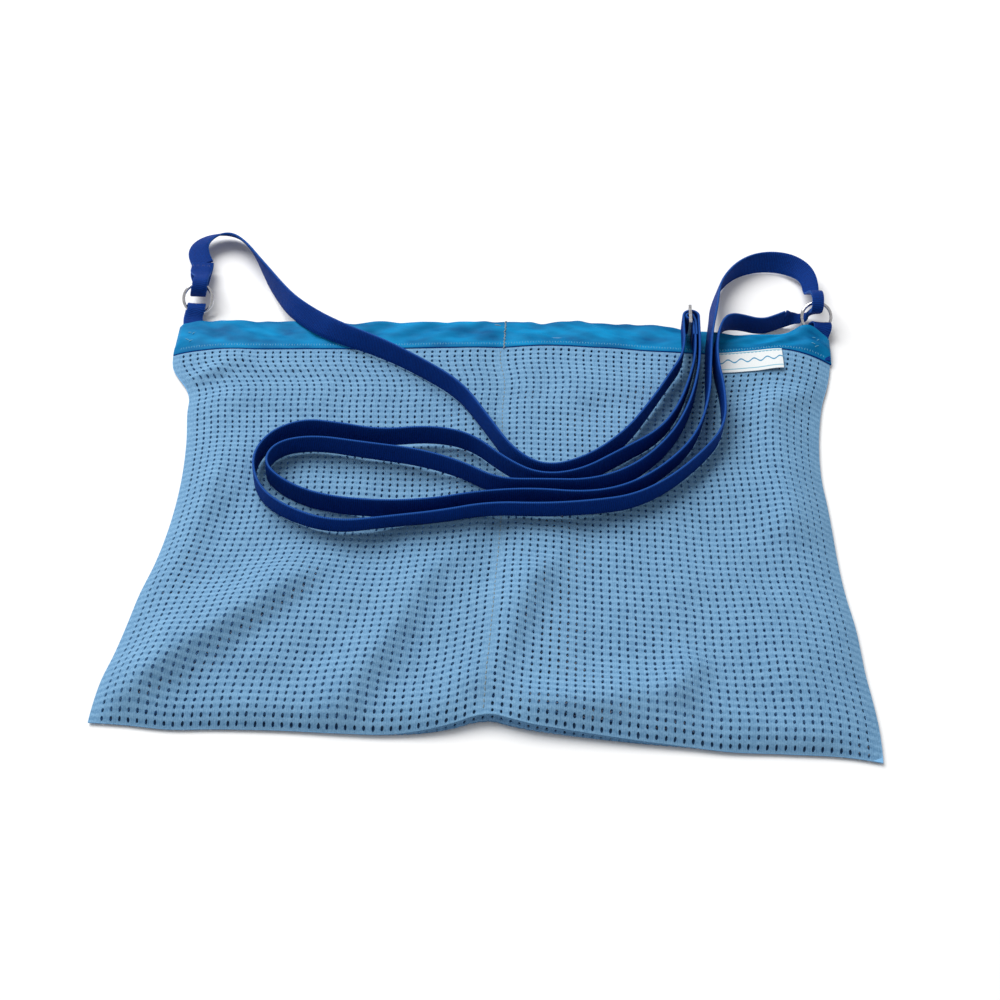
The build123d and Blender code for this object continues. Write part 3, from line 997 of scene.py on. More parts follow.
@dataclass
class Pouch:
    """The two knit panels, their seams and the middle seam's thread."""

    shape: BagShape
    wardrobe: Wardrobe
    flat: tuple[float, float] = (0.354, 0.26)
    seam_width: float = 6 * MM
    seam_thickness: float = 1.0 * MM
    stitch_pitch: float = 2.7 * MM
    stitch_radius: float = 0.3 * MM

    def build(self) -> None:
        """Builds every piece of the pouch."""
        front = Perforation(closed_columns=(43,)).build("front_panel_knit", self.shape.top, self.shape.knit)
        back = Perforation(seed=12, points=8).build("back_panel_knit", self.shape.under, self.shape.knit)
        # The back panel takes the knit painted darker as shade.
        panels = ((front, "front_panel", None), (back, "back_panel", self.wardrobe.shaded_back_knit))
        for piece, node, shade in panels:
            self.wardrobe.dress(piece, Finish.MESH_KNIT, shade)
            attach(piece, "bag")
            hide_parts(node)
        self.build_side_seams()
        self.build_bottom_seam()
        self.build_middle_thread()

    def build_side_seams(self) -> None:
        """Sewn allowances that lie between the panels along both sides."""
        for node, at, inward in (("left_side_seam", 0.0, 1), ("right_side_seam", 1.0, -1)):

            def strip(u: np.ndarray, v: np.ndarray, at: float = at, inward: int = inward) -> np.ndarray:
                """Top face of the allowance.

                Args:
                    u: share across the allowance.
                    v: share along the seam.
                    at: the side's share across the panel.
                    inward: 1 or -1, the way that the allowance runs.

                Returns:
                    Its points.
                """
                edge = self.shape.top(np.full_like(v, at), 0.04 + 0.92 * v)
                share = u if inward > 0 else 1 - u
                edge[:, 0] += inward * (1.2 * MM + self.seam_width * share)
                wave = 0.15 * MM * np.sin(v * 90)
                edge[:, 2] = np.minimum(edge[:, 2], 1.9 * MM) - 0.6 * MM + wave * share
                return edge

            piece = slab(f"{node}_fold", strip, (3, 90), self.seam_thickness * 0.8, (self.seam_width, 0.24))
            self.finish_seam(piece, node)

    def build_bottom_seam(self) -> None:
        """Sewn allowance that lies between the panels along the bottom."""

        def strip(u: np.ndarray, v: np.ndarray) -> np.ndarray:
            """Top face of the allowance.

            Args:
                u: share along the seam.
                v: share across the allowance.

            Returns:
                Its points.
            """
            edge = self.shape.top(0.03 + 0.94 * u, np.zeros_like(u))
            over = self.shape.top(0.03 + 0.94 * u, (0.0016 + self.seam_width * v) / PANEL_RUN)
            edge[:, 1] += 1.6 * MM + self.seam_width * v
            edge[:, 2] = np.minimum(edge[:, 2] - 0.2 * MM, over[:, 2] - 1.6 * MM)
            return edge

        piece = slab("bottom_seam_fold", strip, (140, 3), self.seam_thickness * 0.8, (0.34, self.seam_width))
        self.finish_seam(piece, "bottom_seam")

    def finish_seam(self, piece: bpy.types.Object, node: str) -> None:
        """Dresses a seam and ties it to the bag.

        Args:
            piece: the seam's piece.
            node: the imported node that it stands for.
        """
        # Seams take the knit painted darker as shade.
        self.wardrobe.dress(piece, Finish.SHADED_SEAM_KNIT)
        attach(piece, "bag")
        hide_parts(node)

    def build_middle_thread(self) -> None:
        """Grey stitches that join the panels down the middle."""
        count = int(THREAD_RUN / self.stitch_pitch)
        v = (np.arange(count) + 0.5) / count * 0.955 + 0.01
        u = np.full_like(v, 0.5)
        points = self.shape.top(u, v)
        ways = self.shape.top(u, v + 1e-3) - points
        normals = normals_of(self.shape.top, u, v)
        sway = np.where(np.arange(count) % 2 == 0, 0.16, -0.16)
        ways[:, 0] += sway * np.linalg.norm(ways, axis=1)
        lifted = points + normals * 0.05 * MM
        lengths = np.full(count, self.stitch_pitch * 0.86)
        stitches = zip(lifted, ways, normals, lengths)
        piece = place_stitches("centre_seam_stitches", stitches, self.stitch_radius)
        self.wardrobe.dress(piece, Finish.GREY_THREAD)
        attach(piece, "bag")
        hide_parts("centre_seam_thread")


@dataclass
class Mouth:
    """Satin bindings over both panels' top edges, with their stitching and the bartack."""

    shape: BagShape
    wardrobe: Wardrobe
    columns: int = 300
    rows: int = 14
    half: float = 0.85 * MM
    turns: int = 5
    pucker_rows: tuple[tuple[float, float, float, float], ...] = (
        (0.047, 0.95, 1.2, 0.0),
        (0.026, 0.75, -1.6, 1.1),
        (0.013, 0.36, 1.8, 2.3),
        (0.0085, 0.1, 0.6, 0.4),
    )

    def build(self) -> None:
        """Builds both bindings and what is sewn on them."""
        front = self.band("front_binding_satin", self.front_face, 1.0)
        back = self.band("back_binding_satin", self.back_face, 0.6)
        for piece, node in ((front, "front_binding"), (back, "back_binding")):
            self.wardrobe.dress(piece, Finish.BINDING)
            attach(piece, "bag")
            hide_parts(node)
        self.build_topstitch()
        self.build_bartack()
        self.build_tab_stitches()

    def front_face(self, u: np.ndarray, w: np.ndarray) -> np.ndarray:
        """Middle of the front binding's thickness.

        Args:
            u: share across.
            w: share from its lower edge to its fold.

        Returns:
            Its points.
        """
        x = FRONT_MOUTH[0] + FRONT_MOUTH[1] * u
        low, high = self.shape.mouth_low(x), self.shape.mouth_top(x)
        y = low + (high - low) * w
        along = 1 - self.shape.tuck * (1 - w) / PANEL_RUN
        z = self.shape.top(u, along)[:, 2]
        ends = rounded(np.minimum(u, 1 - u) * MOUTH_SPAN / 0.012, 2.0)
        rise = 1.6 * MM * np.exp(-(((x - 0.164) / 0.012) ** 2)) * w
        middle = -0.5 * MM * np.exp(-(((x - 0.002) / 0.006) ** 2)) * smooth(w, 0.3, 0.9)
        tab = (1 - smooth(np.abs(x), 0.1746, 0.178)) * smooth(np.abs(x), 0.154, 0.166) * 2.4 * MM
        tab = tab * smooth(w, 0.05, 0.45)
        return np.stack([x, y, z - 0.2 * MM + tab + (rise + middle + self.puckers(x, w)) * ends], -1)

    def back_face(self, u: np.ndarray, w: np.ndarray) -> np.ndarray:
        """Middle of the back binding's thickness, which lies on the table.

        Args:
            u: share across.
            w: share from its lower edge to its fold.

        Returns:
            Its points.
        """
        x = BACK_MOUTH[0] + BACK_MOUTH[1] * u
        low, high = self.shape.mouth_low(x), self.shape.mouth_top(x)
        y = low + (high - 1.8 * MM - low) * w
        z = np.full_like(x, self.half + self.shape.table_gap + 0.35 * MM)
        return np.stack([x, y, z + 0.5 * self.puckers(x + 0.07, w) ** 2 / MM], -1)

    def puckers(self, x: np.ndarray, w: np.ndarray) -> np.ndarray:
        """Soft slanted puckers that die out at the stitch line.

        Args:
            x: places across, in metres.
            w: share from the lower edge to the fold.

        Returns:
            Heights in metres.
        """
        total = np.zeros_like(x)
        for length, height, slant, phase in self.pucker_rows:
            strength = 0.6 + 0.4 * np.sin(x * 31 + phase * 3)
            total += height * MM * strength * np.sin(2 * math.pi * (x + slant * w * 0.02) / length + phase)
        return total * smooth(w, 0.1, 0.5)

    def band(self, name: str, face: Surface, swell: float) -> bpy.types.Object:
        """Closed satin band: face, fold at the top, lining, and a turned lower edge.

        Args:
            name: the piece's name.
            face: gives the band's middle from two shares.
            swell: share of the full thickness.

        Returns:
            The new object.
        """
        half = self.half * swell
        shares = np.linspace(0, 1, self.rows)
        ring: list[tuple[float, float, float, float]] = [(w, 0.0, half, 0.0) for w in shares]
        for k in range(1, self.turns):
            angle = math.pi * k / self.turns
            ring.append((1.0, math.sin(angle) * half, math.cos(angle) * half, 0.0))
        ring += [(w, 0.0, -half, 0.0) for w in shares[::-2]]
        # The turned lower edge's rows store 1 as the weave's third value, which paints shade on them in the
        # satin.
        ring.append((0.0, -0.35 * MM, -0.1 * half, 1.0))
        ring.append((0.0, -0.3 * MM, 0.55 * half, 1.0))
        u = np.linspace(0, 1, self.columns + 1)
        rows, weave = [], []
        for w, out, lift, edge in ring:
            points = face(u, np.full_like(u, w))
            points[:, 1] += out
            points[:, 2] += lift
            rows.append(points)
            weave.append(np.stack([u * MOUTH_SPAN, np.full_like(u, w * 0.02), np.full_like(u, edge)], -1))
        # The face's lowest row takes part of that painted edge shade.
        weave[0][:, 2] = 0.7
        count = len(ring)
        index = np.arange(count * len(u)).reshape(count, len(u))
        after = np.roll(index, -1, axis=0)
        faces = np.stack([index[:, :-1], index[:, 1:], after[:, 1:], after[:, :-1]], -1).reshape(-1, 4)
        ends = [index[::-1, 0], index[:, -1]]
        return mesh_piece(name, np.concatenate(rows), [*faces, *ends], np.concatenate(weave), 60.0)

    def build_topstitch(self) -> None:
        """Zigzag topstitching just above each binding's lower edge."""
        for name, node, face, lift in (
            ("front_binding_stitches", "front_binding_thread", self.front_face, self.half),
            ("back_binding_stitches", "back_binding_thread", self.back_face, self.half * 0.6),
        ):
            count = 236
            u = 0.012 + 0.976 * np.arange(count) / (count - 1)
            sway = np.where(np.arange(count) % 2 == 0, 1.0, -1.0)
            centre = face(u, 0.13 + 0 * u)
            ways = face(u + 1e-3, 0.13 + sway * 0.055) - face(u - 1e-3, 0.13 - sway * 0.055)
            normals = normals_of(face, u, 0.13 + 0 * u)
            centre[:, 2] += lift
            lengths = np.full(count, 1.55 * MM)
            piece = place_stitches(name, zip(centre, ways, normals, lengths), 0.14 * MM)
            self.wardrobe.dress(piece, Finish.PALE_THREAD)
            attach(piece, "bag")
            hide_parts(node)

    def build_bartack(self) -> None:
        """Grey twisted tack over the binding at the middle seam, with a short side stitch."""
        rows = 17
        w = np.linspace(-0.02, 1.0, rows)
        u = np.full(rows, 0.5 + 0.0035)
        centre = self.front_face(u, w)
        normals = normals_of(self.front_face, u, w)
        centre += normals * (self.half + 0.08 * MM)
        sway = np.where(np.arange(rows) % 2 == 0, 1.0, -1.0)
        ways = np.stack([0.55 * sway, np.ones(rows), np.zeros(rows)], -1)
        stitches = list(zip(centre, ways, normals, np.full(rows, 2.1 * MM)))
        side = self.front_face(np.array([0.492]), np.array([0.84]))[0] + [0, 0, self.half]
        stitches.append((side, (1, -0.15, 0), (0, 0, 1), 4.2 * MM))
        piece = place_stitches("centre_bartack_stitches", stitches, 0.34 * MM)
        self.wardrobe.dress(piece, Finish.GREY_THREAD)
        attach(piece, "bag")
        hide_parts("centre_bartack")

    def build_tab_stitches(self) -> None:
        """Short crossed stitches that hold each ring tab inside the binding."""
        for side, u in (("left", 0.0235), ("right", 0.9745)):
            stitches = []
            for w, lean in ((0.32, 0.5), (0.36, -0.5), (0.6, 0.9), (0.64, -0.2)):
                centre = self.front_face(np.array([u + 0.006 * lean]), np.array([w]))[0]
                centre[2] += self.half
                stitches.append((centre, (1, lean, 0), (0, 0, 1), 2.6 * MM))
            piece = place_stitches(f"{side}_tab_stitches", stitches, 0.17 * MM)
            self.wardrobe.dress(piece, Finish.PALE_THREAD)
            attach(piece, "bag")
            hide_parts(f"{side}_tab_thread")


@dataclass
class Label:
    """Plain woven label that hangs from under the front binding."""

    shape: BagShape
    wardrobe: Wardrobe
    left: float = 111 * MM
    width: float = 38 * MM
    height: float = 16 * MM
    tuck: float = 2 * MM
    thickness: float = 0.45 * MM

    def build(self) -> None:
        """Builds the label and its stitches."""
        piece = slab("woven_label_cloth", self.face, (28, 14), self.thickness, (self.width, self.height))
        weave = np.array([point.vector[:] for point in piece.data.attributes["weave"].data])
        weave[:, 1] -= self.height * 0.46
        piece.data.attributes["weave"].data.foreach_set("vector", weave.astype(np.float32).ravel())
        self.wardrobe.dress(piece, Finish.LABEL)
        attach(piece, "bag")
        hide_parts("woven_label")
        self.build_stitches()

    def face(self, u: np.ndarray, v: np.ndarray) -> np.ndarray:
        """Label's outer face.

        Args:
            u: share across.
            v: share from its loose edge to its sewn one.

        Returns:
            Its points.
        """
        x = self.left + self.width * u
        high = self.shape.mouth_low(x)
        y = high - self.height + (self.height + self.tuck) * v - 0.4 * MM * (u - 0.5) + 0.6 * MM
        share = (x - self.shape.left(y)) / (self.shape.right(y) - self.shape.left(y))
        along = 1 - (high + self.shape.tuck - y) / PANEL_RUN
        z = self.shape.top(share, along)[:, 2]
        flare = 1.3 * MM * smooth(u, 0.6, 1.0) * (1 - smooth(v, 0.0, 0.8)) + 0.3 * MM * (1 - v)
        lift = self.thickness + 0.15 * MM - 1.2 * MM * smooth(v, 0.84, 0.96)
        return np.stack([x, y, z + lift + flare], -1)

    def build_stitches(self) -> None:
        """A row of stitches just under the binding."""
        count = 18
        u = np.linspace(0.05, 0.95, count)
        v = np.full(count, 0.77)
        centre = self.face(u, v)
        normals = normals_of(self.face, u, v)
        ways = self.face(u + 1e-3, v) - centre
        piece = place_stitches(
            "label_stitches", zip(centre, ways, normals, np.full(count, 1.7 * MM)), 0.14 * MM
        )
        self.wardrobe.dress(piece, Finish.PALE_THREAD)
        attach(piece, "bag")
        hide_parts("label_thread")


# ---------------------------------------------------------------- webbing


UP = np.array([0.0, 0.0, 1.0])
SECTION = (
    (-1.0, -0.4), (-0.95, -0.9), (-0.6, -1.0), (0.0, -1.0), (0.6, -1.0), (0.95, -0.9), (1.0, -0.4),
    (1.0, 0.4), (0.95, 0.9), (0.6, 1.0), (0.0, 1.0), (-0.6, 1.0), (-0.95, 0.9), (-1.0, 0.4),
)


def even_points(points: np.ndarray, step: float) -> np.ndarray:
    """Points at even distances along a line.

    Args:
        points: the line's own points.
        step: about how far apart the new points are.

    Returns:
        The new points, with the line's two ends among them.
    """
    gone = np.concatenate([[0], np.cumsum(np.linalg.norm(np.diff(points, axis=0), axis=1))])
    count = max(4, round(gone[-1] / step))
    at = np.linspace(0, gone[-1], count + 1)
    return np.stack([np.interp(at, gone, points[:, k]) for k in range(3)], -1)


def spline_points(name: str, route: Sequence[Point], step: float) -> np.ndarray:
    """Points along the smooth spline of a given route in millimetres.

    Args:
        name: the spline's name.
        route: the spline's points.
        step: about how far apart the new points are, in metres.

    Returns:
        The points in metres.
    """
    curve = bpy.data.curves.new(name, "CURVE")
    curve.dimensions = "3D"
    curve.resolution_u = 10
    spline = curve.splines.new("NURBS")
    spline.points.add(len(route) - 1)
    for point, (x, y, z) in zip(spline.points, route):
        point.co = (x * MM, y * MM, z * MM, 1.0)
    spline.order_u = 3
    spline.use_endpoint_u = True
    holder = bpy.data.objects.new(f"{name}_line", curve)
    mesh = bpy.data.meshes.new_from_object(holder)
    points = np.array([point.co[:] for point in mesh.vertices])
    bpy.data.meshes.remove(mesh)
    bpy.data.objects.remove(holder)
    bpy.data.curves.remove(curve)
    return even_points(points, step)


@dataclass(frozen=True)
class Band:
    """Size of a length of webbing, in metres."""

    width: float = 12.0 * MM
    thickness: float = 1.3 * MM

    def build(
        self,
        name: str,
        points: np.ndarray,
        across: np.ndarray,
        gone: float = 0.0,
        girth: np.ndarray | None = None,
    ) -> bpy.types.Object:
        """Makes the webbing along a line of points.

        Args:
            name: the piece's name.
            points: the line.
            across: at each point, the way its width runs.
            gone: length of webbing before the first point.
            girth: at each point, the shares of its width and thickness.

        Returns:
            The new object.
        """
        ways = np.gradient(points, axis=0)
        ways /= np.linalg.norm(ways, axis=1, keepdims=True)
        across = across - ways * (across * ways).sum(1, keepdims=True)
        across /= np.linalg.norm(across, axis=1, keepdims=True)
        out = np.cross(across, ways)
        girth = np.ones((len(points), 2)) if girth is None else girth
        along = gone + np.concatenate([[0], np.cumsum(np.linalg.norm(np.diff(points, axis=0), axis=1))])
        section = np.array(SECTION)
        half = np.array([self.width, self.thickness]) / 2
        size = section[None] * half * girth[:, None, :]
        placed = points[:, None] + across[:, None] * size[..., :1] + out[:, None] * size[..., 1:]
        ring = len(section)
        index = np.arange(len(points) * ring).reshape(-1, ring)
        after = np.roll(index, -1, axis=1)
        faces = np.stack([index[:-1], after[:-1], after[1:], index[1:]], -1).reshape(-1, 4)
        weave = np.zeros((len(points), ring, 3))
        weave[..., 0] = along[:, None]
        weave[..., 1] = section[None, :, 0] * half[0]
        weave[..., 2] = section[None, :, 1]
        ends = [index[0, ::-1], index[-1]]
        return mesh_piece(name, placed.reshape(-1, 3), [*faces, *ends], weave.reshape(-1, 3), 60.0)


@dataclass(frozen=True)
class Run:
    """One free run of the strap: its route in millimetres, and how it leans along its length.

    A lean of 0 stands the webbing on edge, a positive one tips its top edge to the right of the
    way it runs, and 90 lays it flat.
    """

    name: str
    node: str
    route: tuple[Point, ...]
    leans: tuple[tuple[float, float], ...]
    lead: float
    lead_at_start: bool
    blend_from: Point
    blend_to: Point
    end_width: float = 1.0


@dataclass
class Strap:
    """The three free runs of webbing, and the folded lengths at the rings and the slider."""

    wardrobe: Wardrobe
    runs: tuple[Run, ...]
    band: Band = Band()
    step: float = 1.5 * MM
    tab_x: float = 169.5 * MM
    slider: Point = (99 * MM, 116.5 * MM, 17.2 * MM)

    def build(self) -> None:
        """Builds the whole strap."""
        for run in self.runs:
            self.build_run(run)
        self.build_ring_loop()
        self.build_ring_turn()
        self.build_slider_loops()
        self.build_threads()

    def across_of(self, points: np.ndarray, leans: Sequence[tuple[float, float]]) -> np.ndarray:
        """Way that the width runs at each point.

        Args:
            points: the middle line.
            leans: leans in degrees at shares of the length.

        Returns:
            One direction for each point.
        """
        ways = np.gradient(points, axis=0)
        ways /= np.linalg.norm(ways, axis=1, keepdims=True)
        right = np.cross(ways, UP)
        right /= np.linalg.norm(right, axis=1, keepdims=True)
        up = np.cross(right, ways)
        shares, angles = np.array(leans).T
        lean = np.radians(np.interp(np.linspace(0, 1, len(points)), shares, angles))
        smoothing = np.ones(9) / 9
        lean = np.convolve(np.pad(lean, 4, mode="edge"), smoothing, "valid")
        return up * np.cos(lean)[:, None] + right * np.sin(lean)[:, None]

    def build_run(self, run: Run) -> None:
        """Builds one free run, with a separate lead at its start where it needs one.

        Args:
            run: the run.
        """
        points = spline_points(run.name, run.route, self.step)
        across = self.across_of(points, run.leans)
        length = float(np.linalg.norm(np.diff(points, axis=0), axis=1).sum())
        cut = round(run.lead / length * (len(points) - 1)) if run.lead_at_start else 0
        if cut:
            lead = self.band.build(f"{run.name}_lead", points[: cut + 1], across[: cut + 1])
            self.finish_run(lead, run, moves=True)
        share = np.linspace(0, 1, len(points))[cut:]
        girth = np.stack([1 - (1 - run.end_width) * smooth(share, 0.965, 1.0), np.ones_like(share)], -1)
        main = self.band.build(run.name, points[cut:], across[cut:], run.lead if cut else 0.0, girth)
        self.finish_run(main, run, moves=not cut)

    def finish_run(self, piece: bpy.types.Object, run: Run, moves: bool) -> None:
        """Args:
            piece: the length of webbing.
            run: the run that it belongs to.
            moves: whether it stays free with its placement baked into its points, rather than tied to the
                bag.
        """
        self.wardrobe.dress(piece, Finish.WEBBING)
        if moves:
            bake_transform(piece)
        else:
            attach(piece, "bag")
        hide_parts(run.node)

    def folded(
        self,
        name: str,
        points: np.ndarray,
        across: np.ndarray,
        body: str,
        node: str,
        girth: np.ndarray | None = None,
    ) -> bpy.types.Object:
        """Makes a sewn or folded length of webbing that stays with one body.

        Args:
            name: the piece's name.
            points: its middle line.
            across: at each point, the way its width runs.
            body: the body that it rides on.
            node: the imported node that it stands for.
            girth: at each point, the shares of its width and thickness.

        Returns:
            The new object.
        """
        piece = self.band.build(name, points, across, girth=girth)
        self.wardrobe.dress(piece, Finish.WEBBING)
        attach(piece, body)
        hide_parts(node)
        return piece

    def build_ring_loop(self) -> None:
        """Loop through the left ring, sewn down on itself and leaning a little to one side."""
        side = (
            (164, 7.0), (157, 7.3), (150, 11.2), (143.2, 15.4), (138.6, 16.9), (135.0, 14.0), (135.3, 10.0),
            (137.0, 7.0), (143, 6.0), (150, 5.6), (157, 5.5), (164, 5.6),
        )
        route = [(-self.tab_x / MM, y, z) for y, z in side]
        points = spline_points("ring_loop", route, self.step * 0.6)
        sewn = smooth(points[:, 1], 0.146, 0.158)
        points[:, 0] += 0.25 * np.clip(points[:, 2] - 6.3 * MM, 0, None) - (1.0 + 1.5 * sewn) * MM
        across = np.tile([1.0, 0.0, 0.0], (len(points), 1))
        narrow = 0.7 + 0.3 * sewn
        girth = np.stack([narrow, np.ones_like(narrow)], -1)
        self.folded("strap_ring_loop_webbing", points, across, "bag", "strap_ring_loop", girth)

    def build_ring_turn(self) -> None:
        """Webbing gathered through the right ring, on its way from the middle run to the right one."""
        route = (
            (168.5, 158, 7), (168.5, 153, 7), (169.2, 146.7, 15.7), (169.5, 139, 18.9), (169.3, 132.6, 15.1),
            (168.6, 136, 10.1), (166.8, 140, 5.4), (162.4, 137.4, 3.0), (156.6, 136.2, 4.9),
            (152, 133.5, 6.3),
        )
        points = spline_points("ring_turn", route, self.step * 0.6)
        share = np.linspace(0, 1, len(points))
        stops = [0.0, 0.15, 0.6, 0.72, 0.82, 0.87, 0.95, 1.0]
        turned = np.array(
            [(0.94, 0, 0.34), (1, 0, 0), (1, 0, 0), (0.7, 0.6, 0.1), (0.1, 1, 0.1), (0.1, 0.9, 0.3),
             (0, 0.3, 0.9), (0, 0, 1)]
        )
        across = np.stack([np.interp(share, stops, turned[:, k]) for k in range(3)], -1)
        places = [0.0, 0.14, 0.3, 0.62, 0.82, 0.92, 1.0]
        width = np.interp(share, places, [0.75, 0.66, 0.55, 0.5, 0.45, 0.6, 1.0])
        thick = np.interp(share, places, [1.0, 1.2, 1.7, 1.9, 1.8, 1.4, 1.0])
        girth = np.stack([width, thick], -1)
        self.folded("strap_ring_turn_webbing", points, across, "bag", "strap_ring_turn", girth)

    def build_slider_loops(self) -> None:
        """Webbing round the slider's middle bar, and over the whole slider."""
        sewn = (
            (3.1, -14), (3.1, -7), (2.9, -3.4), (2.0, -0.6), (1.5, 1.3), (0, 2.0), (-1.5, 1.3), (-2.1, 0),
            (-1.5, -1.4), (0.2, -2.4), (1.5, -4.4), (1.8, -7), (1.8, -14),
        )
        angles = np.linspace(math.pi, 0, 9)
        over = [(-3.4, -14), (-3.4, -7), (-3.4, -1)]
        over += [(0.65 + 4.15 * math.cos(a), 4.15 * math.sin(a)) for a in angles]
        over += [(4.7, -1), (4.7, -7), (4.7, -14)]
        for name, node, flat in (
            ("strap_slider_loop_webbing", "strap_slider_loop", sewn),
            ("strap_slider_turn_webbing", "strap_slider_turn", over),
        ):
            x, y, z = (part / MM for part in self.slider)
            route = [(x + dx, y + dy, z) for dx, dy in flat]
            points = spline_points(name, route, 0.5 * MM)
            across = np.tile(UP, (len(points), 1))
            self.folded(name, points, across, "slider", node)

    def build_threads(self) -> None:
        """Stitching that closes the left loop and the sewn end at the slider."""
        x, y, z = -self.tab_x - 2.5 * MM, 160.5 * MM, 7.75 * MM
        loop = []
        for k in range(7):
            lean = 0.35 if k % 2 else -0.35
            loop.append(((x - 4.5 * MM + k * 1.5 * MM, y, z), (lean, 1, 0), UP, 4.2 * MM))
        for k in range(5):
            loop.append(((x - 4.4 * MM + k * 2.2 * MM, y - 2.4 * MM, z), (1, 0.1, 0), UP, 2.0 * MM))
        piece = place_stitches("strap_ring_loop_stitches", loop, 0.16 * MM)
        self.wardrobe.dress(piece, Finish.STRAP_THREAD)
        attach(piece, "bag")
        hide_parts("strap_ring_thread")
        x, y, z = self.slider
        tack = []
        for k in range(6):
            middle = (x + 1.05 * MM, y - (4.5 + 1.7 * k) * MM, z + 0.4 * MM * (-1) ** k)
            tack.append((middle, (0, 0.25 * (-1) ** k, 1), (-1, 0, 0), 8.0 * MM))
        piece = place_stitches("strap_slider_stitches", tack, 0.16 * MM)
        self.wardrobe.dress(piece, Finish.STRAP_THREAD)
        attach(piece, "slider")
        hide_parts("strap_slider_thread")


@dataclass
class Fittings:
    """Ring tabs of webbing, the two wire rings and the slider's frame."""

    wardrobe: Wardrobe
    nodes: dict[str, bpy.types.Object]
    band: Band = Band(thickness=1.2 * MM)
    tab_x: float = 169.5 * MM
    shears: tuple[float, float] = (0.45, 0.55)

    def build(self) -> None:
        """Builds the tabs and finishes the metal."""
        for side, sign, shear in (("left", -1, self.shears[0]), ("right", 1, self.shears[1])):
            self.build_tab(side, sign * self.tab_x, shear)
        for node in ("left_ring", "right_ring", "slider_frame"):
            metal = self.nodes[node]
            metal.data.materials.clear()
            metal.data.materials.append(self.wardrobe.materials[Finish.METAL])
            LOG.info("%s: %s", node, Finish.METAL.value)

    def build_tab(self, side: str, x: float, shear: float) -> None:
        """Builds one ring tab.

        Args:
            side: left or right.
            x: its middle.
            shear: how far its upper fold leans across for each unit of height.
        """
        outline = (
            (105, 2.2), (115, 2.1), (122, 1.7), (126, 0.9), (129.5, 0.75), (131.9, 2.4), (132.0, 5.4),
            (130, 7.5), (127, 7.4), (124.6, 5.4), (121.5, 3.7), (115, 3.5), (105, 3.45),
        )
        route = [(x / MM, y, z) for y, z in outline]
        points = spline_points(f"{side}_tab", route, 0.7 * MM)
        free = smooth(points[:, 1], 0.112, 0.126)
        points[:, 0] += (shear * (points[:, 2] - 4.1 * MM) + math.copysign(1.5 * MM, x)) * free
        across = np.tile([1.0, 0.0, 0.0], (len(points), 1))
        girth = np.stack([1 - 0.2 * free, np.ones_like(free)], -1)
        piece = self.band.build(f"{side}_ring_tab_webbing", points, across, girth=girth)
        self.wardrobe.dress(piece, Finish.WEBBING)
        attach(piece, "bag")
        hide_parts(f"{side}_ring_tab")


LEFT_RUN = Run(
    "strap_left_webbing",
    "strap_left_run",
    (
        (-172, 164, 6.3), (-176.5, 172, 6.6), (-176, 181.5, 7.0), (-168.5, 189, 7.0), (-158, 190, 6.6),
        (-148.5, 181.5, 6.3), (-137, 161, 6.6), (-125.5, 141, 9.0), (-114, 122, 14.0), (-94, 107, 14.0),
        (-64, 93, 15.3), (-40, 78, 15.5), (-20, 63, 15.5), (-6, 41, 15.5), (8, 18, 15.5), (25, 7, 15.5),
        (46, 15, 15.5), (65, 34, 15.5), (77, 55, 15.5), (87, 74, 16.0), (95.6, 90, 17.2), (95.6, 102.5, 17.2),
    ),
    (
        (0, 90), (0.03, 76), (0.06, 56), (0.095, 36), (0.14, 15), (0.2, -12), (0.25, -26), (0.32, -50),
        (0.38, -22), (0.45, -12), (0.6, -8), (0.75, -8), (0.9, 4), (1, 0),
    ),
    0.0,
    False,
    (0.055, 0.08, 0.0172),
    (0.0956, 0.08, 0.0172),
)
MIDDLE_RUN = Run(
    "strap_middle_webbing",
    "strap_middle_run",
    (
        (103.7, 102.5, 17.2), (103.7, 90, 17.2), (101.5, 72, 16.0), (96.5, 52, 15.5), (87, 31, 15.5),
        (70, 11, 15.5), (48, 0, 15.5), (24, -0.5, 15.5), (2, -1.5, 15.5), (-16, 9, 15.5), (-38, 16.5, 15.5),
        (-66, 20, 15.5), (-92, 24, 15.5), (-110, 19, 15.5), (-115, 5.5, 15.5), (-104, -6.5, 15.5),
        (-84, -15.5, 15.5), (-56, -18, 15.5), (-30, -15.5, 15.5), (-8, -9.5, 15.5), (18, -6, 15.5),
        (46, -7.5, 15.5), (66, -1.5, 15.5), (84, 12.5, 15.5), (99.5, 32.5, 15.5), (107, 58.5, 15.5),
        (108.2, 84, 15.5), (109.4, 106, 15.8), (112.5, 125, 15.8), (114.5, 142, 10.5), (118, 158, 6.6),
        (127, 172, 6.3), (140, 179.5, 6.3), (154, 180, 6.3), (164, 174.5, 6.5), (168.5, 165.5, 7.0),
        (168.5, 158, 7.0),
    ),
    (
        (0, 0), (0.1, 2), (0.2, 4), (0.3, 3), (0.38, -4), (0.5, -4), (0.62, 3), (0.7, 4), (0.76, 4),
        (0.83, 12), (0.87, 18), (0.92, 4), (0.95, -25), (0.975, -50), (1, -72),
    ),
    0.11,
    True,
    (0.080, 0.022, 0.0172),
    (0.1037, 0.095, 0.0172),
    0.75,
)
